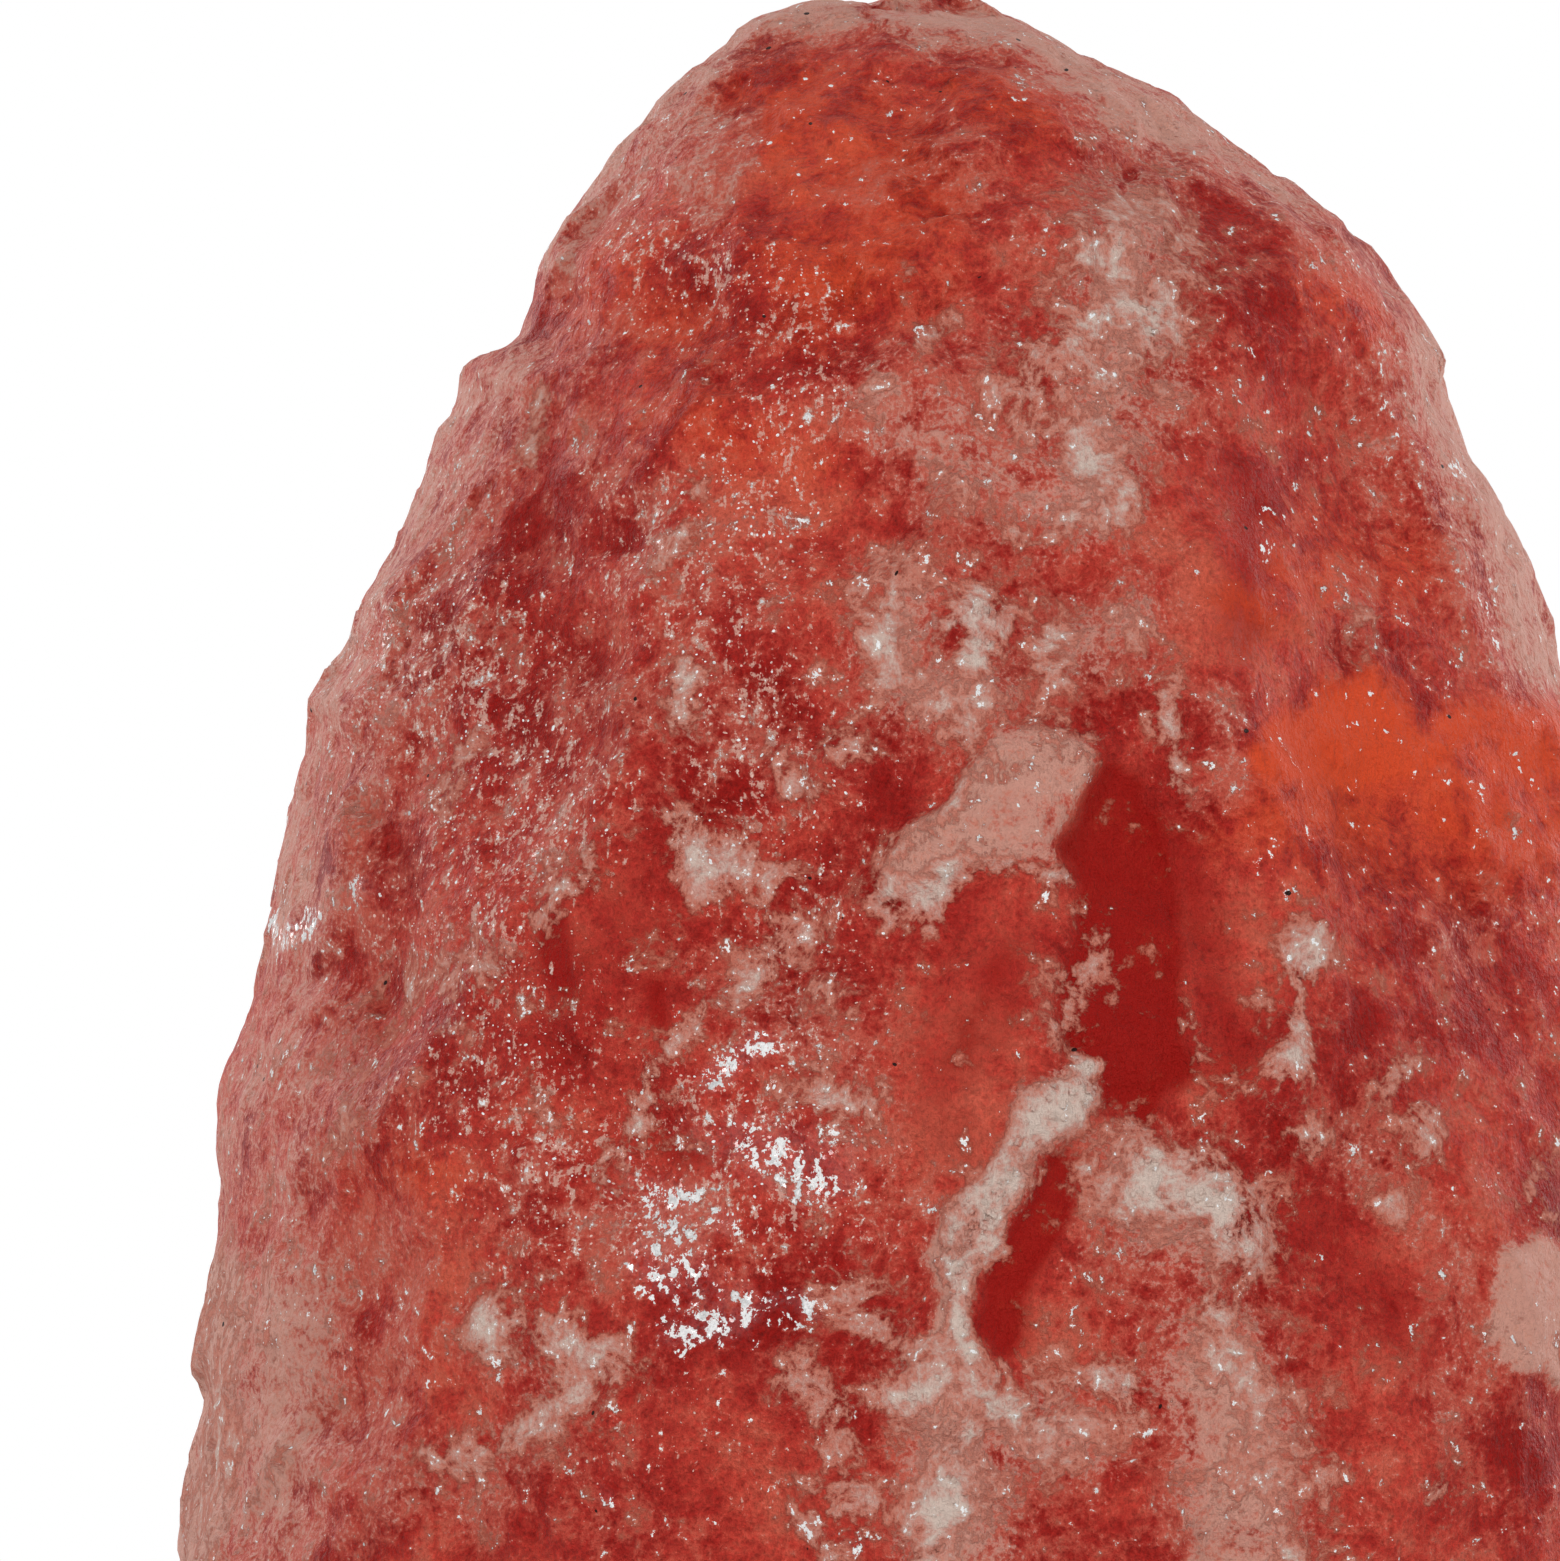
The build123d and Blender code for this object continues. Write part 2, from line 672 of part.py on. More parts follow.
def terminal_strip(low_x, top_z):
    """An upright brass strip through the carrier, down to a round-cornered tail with a screw hole."""
    side = terminal_width / 2
    strip = block((low_x, low_x + terminal_thickness), (-side, side), (terminal_tail_z, top_z))
    strip = fillet(strip.edges().filter_by(Axis.X).group_by(Axis.Z)[0], side / 2)
    hole = Rot(0, 90, 0) * Cylinder(terminal_screw_radius + fit_gap, 4 * terminal_thickness)
    return strip - Pos(low_x + terminal_thickness / 2, 0, terminal_screw_z) * hole


def centre_terminal():
    """Left terminal, whose top stands beside the root of the springy centre contact."""
    return terminal_strip(centre_terminal_x - terminal_thickness, tongue_root_z + tongue_thickness / 2)


def side_terminal():
    """Right terminal, bent over at the top to lie under the screw shell's floor."""
    side = terminal_width / 2
    ledge_x = (pocket_radius - side_ledge_overlap, side_terminal_x + terminal_thickness)
    ledge = block(ledge_x, (-side, side), (carrier_top_z - terminal_thickness, carrier_top_z))
    return terminal_strip(side_terminal_x, carrier_top_z) + ledge


def terminal_screws():
    """One small slotted screw in the tail of each terminal, facing outwards."""
    head = Cylinder(terminal_screw_head_radius, terminal_screw_head_height, align=standing)
    slot = Box(2 * terminal_screw_head_radius, terminal_screw_slot, terminal_screw_head_height)
    head -= Pos(0, 0, terminal_screw_head_height) * slot
    screw = head + Cylinder(terminal_screw_radius, terminal_screw_length, align=hanging)
    left = Pos(centre_terminal_x - terminal_thickness, 0, terminal_screw_z) * Rot(0, -90, 0) * screw
    right = Pos(side_terminal_x + terminal_thickness, 0, terminal_screw_z) * Rot(0, 90, 0) * screw
    return group([left, right])


def strip_along(width, thickness, bend_radius, *points):
    """A bent metal strip whose middle follows these points of the XZ plane."""
    line = FilletPolyline(*points, radius=bend_radius)
    return extrude(Plane.XZ * trace(line, thickness), width / 2, both=True)


def centre_contact():
    """Springy brass tongue that presses on the bulb's tip."""
    return strip_along(
        tongue_width,
        tongue_thickness,
        tongue_crown / 2,
        (tongue_root_x, tongue_root_z),
        (tongue_tip_x - tongue_crown, tongue_crown_z),
        (tongue_tip_x, tongue_crown_z),
    )


def screw_shell():
    """Brass sleeve that the bulb's cap screws into, standing on the carrier and the side terminal."""
    outer = screw_shell_radius + screw_shell_wall
    opening = screw_shell_radius - screw_shell_floor_width
    top_z = carrier_top_z + screw_shell_length
    return turned_corners(
        (opening, carrier_top_z),
        (outer, carrier_top_z),
        (outer, top_z - screw_shell_flare),
        (outer + screw_shell_flare, top_z),
        (screw_shell_radius + screw_shell_flare, top_z),
        (screw_shell_radius, top_z - screw_shell_flare),
        (screw_shell_radius, carrier_top_z + screw_shell_wall),
        (opening, carrier_top_z + screw_shell_wall),
    )


# ---------------------------------------------------------------- spring clips
def clip_right():
    """Sprung strip that leans out to the bore's wall, then turns in at its tip."""
    crest_x = clip_crest_x - clip_thickness / 2
    return strip_along(
        clip_width,
        clip_thickness,
        clip_bend_radius,
        (clip_root_x, plate_top_z + clip_thickness + flex_gap),
        (crest_x, plate_top_z + clip_crest_height),
        (crest_x, plate_top_z + clip_crest_height + clip_crest_length),
        (crest_x - clip_tip_in, plate_top_z + clip_tip_height),
    )


def clip_left():
    """The same strip, turned to face the other way."""
    return Rot(0, 0, 180) * clip_right()


def rivet_set(shape):
    """Copies of a shape drawn on the Z axis at every rivet, two to a clip."""
    foot_middle_x = clip_root_x + clip_lean / 2
    right = [Pos(foot_middle_x, side * rivet_spacing / 2, 0) * shape for side in (-1, 1)]
    return right + [Rot(0, 0, 180) * one for one in right]


def clip_feet():
    """The strips' feet, riveted flat on the plate outside the bend."""
    side = clip_width / 2
    foot_top_z = plate_top_z + clip_thickness
    foot = block((clip_root_x, clip_crest_x), (-side, side), (plate_top_z, foot_top_z))
    feet = [foot, Rot(0, 0, 180) * foot]
    for hole in rivet_set(rod(rivet_radius + fit_gap, plate_top_z, foot_top_z)):
        feet = [one - hole for one in feet]
    return group(feet)


def clip_rivets():
    """Domed rivets through the feet and the plate."""
    foot_top_z = plate_top_z + clip_thickness
    tail_z = plate_bottom_z - rivet_tail_height
    rivet = turned(
        Polyline(
            (0, foot_top_z + rivet_head_height),
            (0, tail_z),
            (rivet_head_radius, tail_z),
            (rivet_head_radius, plate_bottom_z),
            (rivet_radius, plate_bottom_z),
            (rivet_radius, foot_top_z),
            (rivet_head_radius, foot_top_z),
        ),
        dome(rivet_head_radius, foot_top_z, rivet_head_height),
    )
    return group(rivet_set(rivet))


# ---------------------------------------------------------------- the bulb
def bulb_tip_contact():
    """Solder button at the bottom of the bulb."""
    shoulder_z = bulb_tip_z + tip_dome
    top_z = bulb_tip_z + tip_height
    return turned(
        dome(tip_radius, shoulder_z, -tip_dome),
        Polyline((tip_radius, shoulder_z), (tip_radius, top_z), (0, top_z), (0, bulb_tip_z)),
    )


def bulb_insulator():
    """Black glass cone between the solder button and the threaded cap."""
    low_z = bulb_tip_z + tip_height
    high_z = cap_shell_bottom_z - fit_gap
    low_radius = tip_radius + insulator_shoulder
    high_radius = cap_thread_radius - cap_edge_round
    return turned_corners((0, low_z), (low_radius, low_z), (high_radius, high_z), (0, high_z))


def bulb_cap():
    """Brass cap shell: rounded bottom edge, plain over the thread, flared lip for the glass."""
    low_z = cap_shell_bottom_z
    edge_radius = cap_thread_radius - cap_edge_round
    opening = edge_radius - cap_wall
    return turned(
        Line((opening, low_z), (edge_radius, low_z)),
        CenterArc((edge_radius, low_z + cap_edge_round), cap_edge_round, -90, 90),
        Polyline(
            (cap_thread_radius, low_z + cap_edge_round),
            (cap_thread_radius, glass_bottom_z),
            (cap_lip_radius, cap_shell_top_z),
            (cap_lip_radius - cap_wall, cap_shell_top_z),
            (cap_thread_radius - cap_wall, glass_bottom_z),
            (cap_thread_radius - cap_wall, low_z + cap_edge_round),
            (opening, low_z + cap_wall),
            (opening, low_z),
        ),
    )


def glass_outline(inset):
    """The pear outline from the neck to the top, moved in by the wall."""
    neck = (neck_radius - inset, glass_bottom_z + neck_rise)
    widest = (bulb_radius - inset, bulb_top_z - bulb_radius)
    return [
        Line((neck_radius - inset, glass_bottom_z), neck),
        Spline(neck, widest, tangents=[(0, 1), (0, 1)]),
        CenterArc((0, bulb_top_z - bulb_radius), bulb_radius - inset, 0, 90),
    ]


def bulb_glass():
    """Blown pear-shaped envelope, open at the neck where the stem is sealed in."""
    return turned(
        *glass_outline(0),
        *glass_outline(bulb_wall),
        Line((neck_radius - bulb_wall, glass_bottom_z), (neck_radius, glass_bottom_z)),
        Line((0, bulb_top_z - bulb_wall), (0, bulb_top_z)),
    )


def bulb_stem():
    """Glass flare and rod, pressed flat at the top round the wires."""
    flare_radius = neck_radius - bulb_wall - fit_gap
    stem = turned_corners(
        (0, glass_bottom_z),
        (flare_radius, glass_bottom_z),
        (flare_radius, glass_bottom_z + stem_flare_edge),
        (flare_radius / 2, glass_bottom_z + stem_flare_height / 2),
        (stem_rod_radius, glass_bottom_z + stem_flare_height),
        (stem_rod_radius, stem_top_z),
        (0, stem_top_z),
    )
    press = block(
        (-press_length / 2, press_length / 2),
        (-press_thickness / 2, press_thickness / 2),
        (stem_top_z - press_height, stem_top_z),
    )
    return stem + fillet(press.edges().filter_by(Axis.Z), 0.4 * press_thickness)


def wire(radius, *points):
    """A bent wire through these points of the XZ plane."""
    path = FilletPolyline(*[(x, 0, z) for x, z in points], radius=wire_bend)
    return sweep(Plane(origin=path @ 0, z_dir=path % 0) * Circle(radius), path=path)


def wire_pair(radius, root_x, top_x, top_z):
    """Two mirrored wires from the stem's top, splayed out and then upright again."""
    wires = []
    for side in (-1, 1):
        foot = (side * root_x, stem_top_z)
        foot_bend = (side * root_x, stem_top_z + wire_straight)
        top_bend = (side * top_x, top_z - wire_straight)
        wires.append(wire(radius, foot, foot_bend, top_bend, (side * top_x, top_z)))
    return group(wires)


def lead_wires():
    """Two leads from the stem out past the filament's ends."""
    return wire_pair(lead_radius, lead_root_x, filament_half_span, filament_z + filament_radius)


def support_wires():
    """Two thin supports that stand just under the filament."""
    bow_here = filament_bow * (1 - (support_x / filament_half_span) ** 2)
    under_z = filament_z + bow_here - filament_radius - fit_gap
    return wire_pair(support_radius, support_root_x, support_x, under_z)


def filament():
    """Coiled filament as one bowed tube of the coil's outer size."""
    end_x = filament_half_span - lead_radius - fit_gap
    bow = ThreePointArc((-end_x, 0, filament_z), (0, 0, filament_z + filament_bow), (end_x, 0, filament_z))
    return sweep(Plane(origin=bow @ 0, z_dir=bow % 0) * Circle(filament_radius), path=bow)


sub_parts = [
    salt_crystal,
    wooden_base,
    fixing_screws,
    screw_plugs,
    rubber_feet,
    foot_screws,
    mounting_plate,
    lock_washer,
    nipple_nut,
    hollow_nipple,
    holder_cap,
    holder_shell,
    contact_carrier,
    centre_terminal,
    side_terminal,
    terminal_screws,
    centre_contact,
    screw_shell,
    clip_feet,
    clip_rivets,
    clip_left,
    clip_right,
    bulb_tip_contact,
    bulb_insulator,
    bulb_cap,
    bulb_glass,
    bulb_stem,
    lead_wires,
    support_wires,
    filament,
]

os.makedirs("parts", exist_ok=True)
for sub_part in sub_parts:
    shape = sub_part()
    export_step(shape, f"parts/{sub_part.__name__}.step")
    print(sub_part.__name__, "volume", round(shape.volume, 1), "mm3")
print("bore roof", round(roof_z, 2), "bulb tip", round(bulb_tip_z, 2), "bulb top", round(bulb_top_z, 2))
print("clip root", round(clip_root_x, 2), "clip crest", round(clip_crest_x, 2), "tongue root", tongue_root_z)
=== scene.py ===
# %% [markdown]
# # A salt crystal lamp, built in Blender around its CAD frame
# The real lamp is a rough lump of rock salt, bored from below, on a turned wooden base. The photograph
# shows the top two thirds of the rock. This file dresses the CAD model: each CAD piece whose shape is
# right gets a finish, and the ones whose surface CAD can't describe are replaced.

# %% Load the frame
from functools import partial
from math import cos, pi, radians, sin, tau

import bmesh
import bpy
import numpy as np
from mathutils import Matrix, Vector, noise
from mathutils.bvhtree import BVHTree


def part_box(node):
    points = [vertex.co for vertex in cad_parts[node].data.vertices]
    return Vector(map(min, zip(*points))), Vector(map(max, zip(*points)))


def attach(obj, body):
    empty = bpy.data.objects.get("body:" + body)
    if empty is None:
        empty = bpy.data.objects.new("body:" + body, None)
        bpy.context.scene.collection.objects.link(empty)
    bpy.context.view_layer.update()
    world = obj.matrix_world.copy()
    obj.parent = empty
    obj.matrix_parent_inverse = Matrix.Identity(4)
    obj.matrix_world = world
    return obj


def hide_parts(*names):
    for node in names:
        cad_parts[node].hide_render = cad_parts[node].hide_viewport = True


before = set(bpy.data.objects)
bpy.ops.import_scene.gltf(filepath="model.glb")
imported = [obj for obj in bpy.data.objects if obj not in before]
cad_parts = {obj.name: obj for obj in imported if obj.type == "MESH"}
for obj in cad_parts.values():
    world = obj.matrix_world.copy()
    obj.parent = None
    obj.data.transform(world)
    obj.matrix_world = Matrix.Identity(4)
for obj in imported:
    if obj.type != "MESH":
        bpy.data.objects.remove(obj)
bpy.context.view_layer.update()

mm = 0.001

# %% [markdown]
# ## Where the photograph sits
# One pixel of the photograph is 0.08 mm on the upright plane through the lamp's axis. The axis column
# and the row of the rock's top tie pixels to millimetres. A long lens from over a metre away gives the
# flat perspective of a product photograph, and its focal length follows from the width it has to frame.

# %% Camera
photo_size = (1560, 1561)
pixel = 0.08 * mm
axis_column = 955  # pixel column of the lamp's axis
top_row = -3  # pixel row of the rock's highest point
rock_top_z = 0.207
camera_distance = 1.2
photo_middle = (photo_size[0] / 2, photo_size[1] / 2)
middle_x = (photo_middle[0] - axis_column) * pixel
middle_z = rock_top_z - (photo_middle[1] - top_row) * pixel

camera = bpy.data.objects.new("camera", bpy.data.cameras.new("camera"))
camera.location = (middle_x, -camera_distance, middle_z)
camera.rotation_euler = (pi / 2, 0, 0)
camera.data.lens = camera.data.sensor_width * camera_distance / (photo_size[0] * pixel)
bpy.context.scene.collection.objects.link(camera)
bpy.context.scene.camera = camera
print("lens", round(camera.data.lens), "mm, aimed at", round(middle_x / mm, 1), round(middle_z / mm, 1))


def photo_place(points):
    """Pixel column and row at which the camera sees each point of an array in metres."""
    scale = camera_distance / (camera_distance + points[:, 1]) / pixel
    columns = photo_middle[0] + (points[:, 0] - middle_x) * scale
    rows = photo_middle[1] - (points[:, 2] - middle_z) * scale
    return np.column_stack((columns, rows))


# %% [markdown]
# ## Adding nodes and colours
# Every finish and every Geometry Nodes tree is a graph of nodes. One function adds a node, sets its
# properties, and fills its inputs with a value or with another node's output. It is bound to a tree
# once, as add, and each step below works with the add of its own tree. Colours are written as a screen
# shows them (sRGB hex) and turned into the linear values that light is worked out in.


# %% Colours
def colour(code):
    """An sRGB hex colour such as "#A31610" as linear red, green, blue and an alpha of 1."""
    parts = [int(code[start:start + 2], 16) / 255 for start in (1, 3, 5)]
    return (*[c / 12.92 if c <= 0.04045 else ((c + 0.055) / 1.055) ** 2.4 for c in parts], 1.0)


print("#A31610 is", [round(part, 3) for part in colour("#A31610")])


# %% Nodes
def fill(node, inputs):
    """Links inputs to sockets, or sets them to values. They are a dict by place, or a list from the first."""
    for place, value in inputs.items() if isinstance(inputs, dict) else enumerate(inputs):
        if isinstance(value, bpy.types.NodeSocket):
            node.id_data.links.new(value, node.inputs[place])
        else:
            is_colour = isinstance(value, str) and value.startswith("#")
            node.inputs[place].default_value = colour(value) if is_colour else value


def add_node(tree, kind, inputs=None, out=0, stops=(), **settings):
    """Adds a node and returns one of its outputs, or the node itself where out is None.

    The kind is a node's class, where ShaderNode may be left out, with its operation after a dot.
    """
    kind, _, operation = kind.partition(".")
    new = tree.nodes.new(kind if "Node" in kind else "ShaderNode" + kind)
    if operation:
        new.operation = operation
    for name, value in settings.items():
        setattr(new, name, value)
    fill(new, inputs or {})
    for index, (position, code) in enumerate(stops):
        points = new.color_ramp.elements
        point = points[index] if index < len(points) else points.new(position)
        point.position, point.color = position, colour(code)
    return new if out is None else new.outputs[out]


smooth = {"interpolation_type": "SMOOTHSTEP"}  # a Map Range that eases in and out
of_colours = {"out": 2, "data_type": "RGBA"}  # a Mix of colours


# %% Materials and pieces
def new_material(name):
    """A material, an add for its nodes, its shader, and a place in millimetres to hang patterns on."""
    material = bpy.data.materials.new(name)
    material.use_nodes = True
    add = partial(add_node, material.node_tree)
    spot = add("VectorMath.SCALE", {0: add("TexCoord", out=3), 3: 1 / mm})
    return material, add, material.node_tree.nodes["Principled BSDF"], spot


def ring_points(outline, around):
    """Each radius and height of an outline as a ring of points round the axis."""
    return [(r * cos(tau * n / around), r * sin(tau * n / around), z)
            for r, z in outline for n in range(around)]


def ring_faces(rings, around, closed=False):
    """The quads between rings of points, and back to the first ring where closed."""
    return [(ring * around + n, ring * around + (n + 1) % around,
             (ring + 1) % rings * around + (n + 1) % around, (ring + 1) % rings * around + n)
            for ring in range(rings - 1 + closed) for n in range(around)]


def new_piece(name, vertices, faces, edges=()):
    """A mesh object at the origin with its place in its mesh."""
    mesh = bpy.data.meshes.new(name)
    mesh.from_pydata(vertices, edges, faces)
    piece = bpy.data.objects.new(name, mesh)
    bpy.context.scene.collection.objects.link(piece)
    return piece


# %% [markdown]
# ## Light, background and floor
# The photograph was taken in front of plain white. The world is white to the camera and in
# reflections, and lights the surfaces with a plainer grey, so that a colour renders about as it is
# written. Compact soft boxes stand for the studio lamps: they are small and bright, because the salt's
# tiny crystal faces mirror them as glints.

# %% World
world = bpy.data.worlds.new("white_surroundings")
bpy.context.scene.world = world
world.use_nodes = True
add = partial(add_node, world.node_tree)
ray = add("LightPath", out=None).outputs
seen = add("Math.MAXIMUM", [ray["Is Camera Ray"], ray["Is Glossy Ray"]])
seen = add("Math.MAXIMUM", [seen, ray["Is Transmission Ray"]])
world_light = 0.5
strength = add("MapRange", {0: seen, 3: world_light, 4: 1.0})
fill(world.node_tree.nodes["Background"], {"Color": "#FFFFFF", "Strength": strength})
print("world light", world_light, "and 1 in what mirrors it")

# %% Soft boxes
lamp_middle = Vector((0, 0, 0.13))
soft_boxes = {  # place in metres, side in metres, brightness of the face
    "soft_box_left": ((-0.42, -0.62, 0.52), 0.17, 19.0),
    "soft_box_right": ((0.50, -0.55, 0.40), 0.15, 17.0),
    "soft_box_low": ((0.05, -0.80, 0.02), 0.10, 14.0),
    "soft_box_back_left": ((-0.55, 0.60, 0.45), 0.25, 11.0),
    "soft_box_back_right": ((0.60, 0.50, 0.35), 0.25, 11.0),
}
for name, (place, side, brightness) in soft_boxes.items():
    light = bpy.data.lights.new(name, "AREA")
    light.size = side
    light.energy = brightness * pi * side ** 2
    box = bpy.data.objects.new(name, light)
    box.location = place
    box.rotation_euler = (lamp_middle - box.location).to_track_quat("-Z", "Y").to_euler()
    bpy.context.scene.collection.objects.link(box)
bpy.context.scene.view_settings.view_transform = "Standard"
print(len(soft_boxes), "soft boxes")

# %% Floor
floor_radius = 0.95
rim = [(floor_radius * cos(a), floor_radius * sin(a), 0) for a in np.linspace(0, tau, 96, endpoint=False)]
floor = new_piece("floor", rim, [list(range(len(rim)))])
card, add, shader, spot = new_material("matt_white_card")
far = add("VectorMath.LENGTH", [spot], out=1)
fade_from, fade_to = 250, 850  # millimetres from the lamp
fade = add("MapRange", [far, fade_from, fade_to], **smooth)
fill(shader, {"Base Color": "#F1F0EE", "Roughness": 0.9})
glow = add("Emission", ["#FFFFFF"])
cover = add("MixShader", [fade, shader.outputs[0], glow])
below = add("NewGeometry", out=6)
cover = add("MixShader", [below, cover, add("BsdfTransparent")])
fill(card.node_tree.nodes["Material Output"], {0: cover})
floor.data.materials.append(card)
print("floor", floor_radius, "m in radius")

# %% [markdown]
# ## The rock: one skin round the CAD solid
# The rock is a hewn lump whose broad planes CAD already has. What CAD lacks is the broken surface. A
# grid of points is laid on the CAD solid by casting rays at it from outside: level rays up the sides,
# then rays that tilt up to the top, so that the grid closes in one pole. The points stand closer
# together on the front and top, which the photograph shows, than at the back and foot.

# %% Cast the grid onto the CAD solid
rock_low, rock_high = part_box("salt_crystal")
rock_foot_z = rock_low.z
columns, front_closeness = 372, 0.4
turn_from_z = 0.160  # above this height the rays tilt up
tilt_rows = 100
lean_x, lean_from_z, lean_over = -0.0055, 0.08, 0.08  # the top stands left of the axis
close_from_z = 0.074  # the photograph shows the rock from here up
level_rows = [*np.linspace(rock_foot_z, close_from_z, 26, endpoint=False),
              *np.linspace(close_from_z, turn_from_z, 120, endpoint=False)]
row_heights = level_rows + [turn_from_z] * tilt_rows
row_tilts = [0.0] * len(level_rows) + list(np.linspace(0, pi / 2, tilt_rows, endpoint=False))
fine = np.linspace(-pi / 2, 3 * pi / 2, 7201)
shares = np.cumsum(1 + front_closeness * (1 - np.sin(fine)) * 2)
angles = np.interp(np.linspace(shares[0], shares[-1], columns, endpoint=False), shares, fine)

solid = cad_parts["salt_crystal"].data
target = BVHTree.FromPolygons([v.co for v in solid.vertices], [list(p.vertices) for p in solid.polygons])
reach = 0.3
grid = np.zeros((len(row_heights), columns, 3))
for row, (height, tilt) in enumerate(zip(row_heights, row_tilts)):
    lean = lean_x * min(1, max(0, (height - lean_from_z) / lean_over))
    middle = Vector((lean, 0, max(height, rock_foot_z + 0.01 * mm)))
    for column, angle in enumerate(angles):
        way = Vector((cos(angle) * cos(tilt), sin(angle) * cos(tilt), sin(tilt)))
        grid[row, column] = target.ray_cast(middle + way * reach, -way)[0]
grid[0, :, 2] = rock_foot_z
pole = np.array(target.ray_cast(Vector((lean_x, 0, reach)), Vector((0, 0, -1)))[0])
print("grid", grid.shape[:2], "top at", round(pole[2] / mm, 2), "mm")

# %% [markdown]
# ## Wearing the corners off
# CAD's planes meet in straight, even edges, which a natural rock doesn't have. Averaging each point
# with its neighbours two dozen times rounds them over a few millimetres and leaves the broad planes.

# %% Round the hewn edges
rounding_passes = 24
for _ in range(rounding_passes):
    across = (np.roll(grid, 1, axis=1) + np.roll(grid, -1, axis=1)) / 2
    along = grid.copy()
    along[1:-1] = (grid[:-2] + grid[2:]) / 2
    along[-1] = (grid[-2] + pole) / 2
    grid[1:] = (0.5 * grid + 0.25 * across + 0.25 * along)[1:]
    grid[0, :, :2] = (0.5 * grid + 0.5 * across)[0, :, :2]
print("rounded", rounding_passes, "times")

# %% [markdown]
# ## The outline of the photograph
# The CAD outline is a smooth version of the rock's. Small hollows and bulges along the left and right
# edge are written as pixel rows with how far the edge moves out there, and they move the whole flank.

# %% Notches and bulges of the outline: (pixel row, millimetres outwards)
left_edge = [
    (0, -0.9), (20, -0.1), (50, -0.9), (75, 0), (100, 0.5), (150, -0.2), (250, 0), (300, -1.6), (332, -2.0),
    (368, -0.1), (400, -0.7), (455, 0), (500, 0.3), (550, -0.2), (600, 0.8), (650, 0), (700, 1.1), (750, 0),
    (800, -0.4), (900, 0), (1000, -0.2), (1050, 0.4), (1100, 0.8), (1150, 0.2), (1200, -0.4), (1340, 0.3),
    (1400, -0.5), (1450, -0.1), (1561, 0)]
right_edge = [
    (0, -0.8), (20, -0.3), (50, -1.3), (75, -0.8), (95, 0.6), (130, -1.1), (160, -1.1), (220, 0.6), (280, 0),
    (320, 0.3), (380, -0.3), (430, -0.9), (500, -0.4), (560, 0.3), (660, -0.3), (740, 0.4), (900, -0.5),
    (1100, 0.3), (1300, -0.4), (1561, 0)]
points = grid.reshape(-1, 3)
rows_seen = photo_place(points)[:, 1]
sideways = np.clip((points[:, 0] - lean_x) / 0.03, -1, 1)
move_left = np.interp(rows_seen, *zip(*left_edge)) * mm
move_right = np.interp(rows_seen, *zip(*right_edge)) * mm
points[:, 0] += np.where(sideways < 0, sideways * move_left, sideways * move_right)
print("outline moved by up to", round(float(np.abs([move_left, move_right]).max()) / mm, 2), "mm")

# %% [markdown]
# ## Patches of the photograph
# White salt crust, milky veils, clear deep red windows and an orange glow lie where the photograph
# shows them. Each patch is a stroke, or an outline where its first corner comes last again, in pixels,
# with a half width, a soft edge, a lift off the surface and a strength. On the flanks and the back,
# which nobody photographed, noise of the same size places them. The result is stored as attributes of
# the mesh, and the finish turns their soft edges into ragged ones.

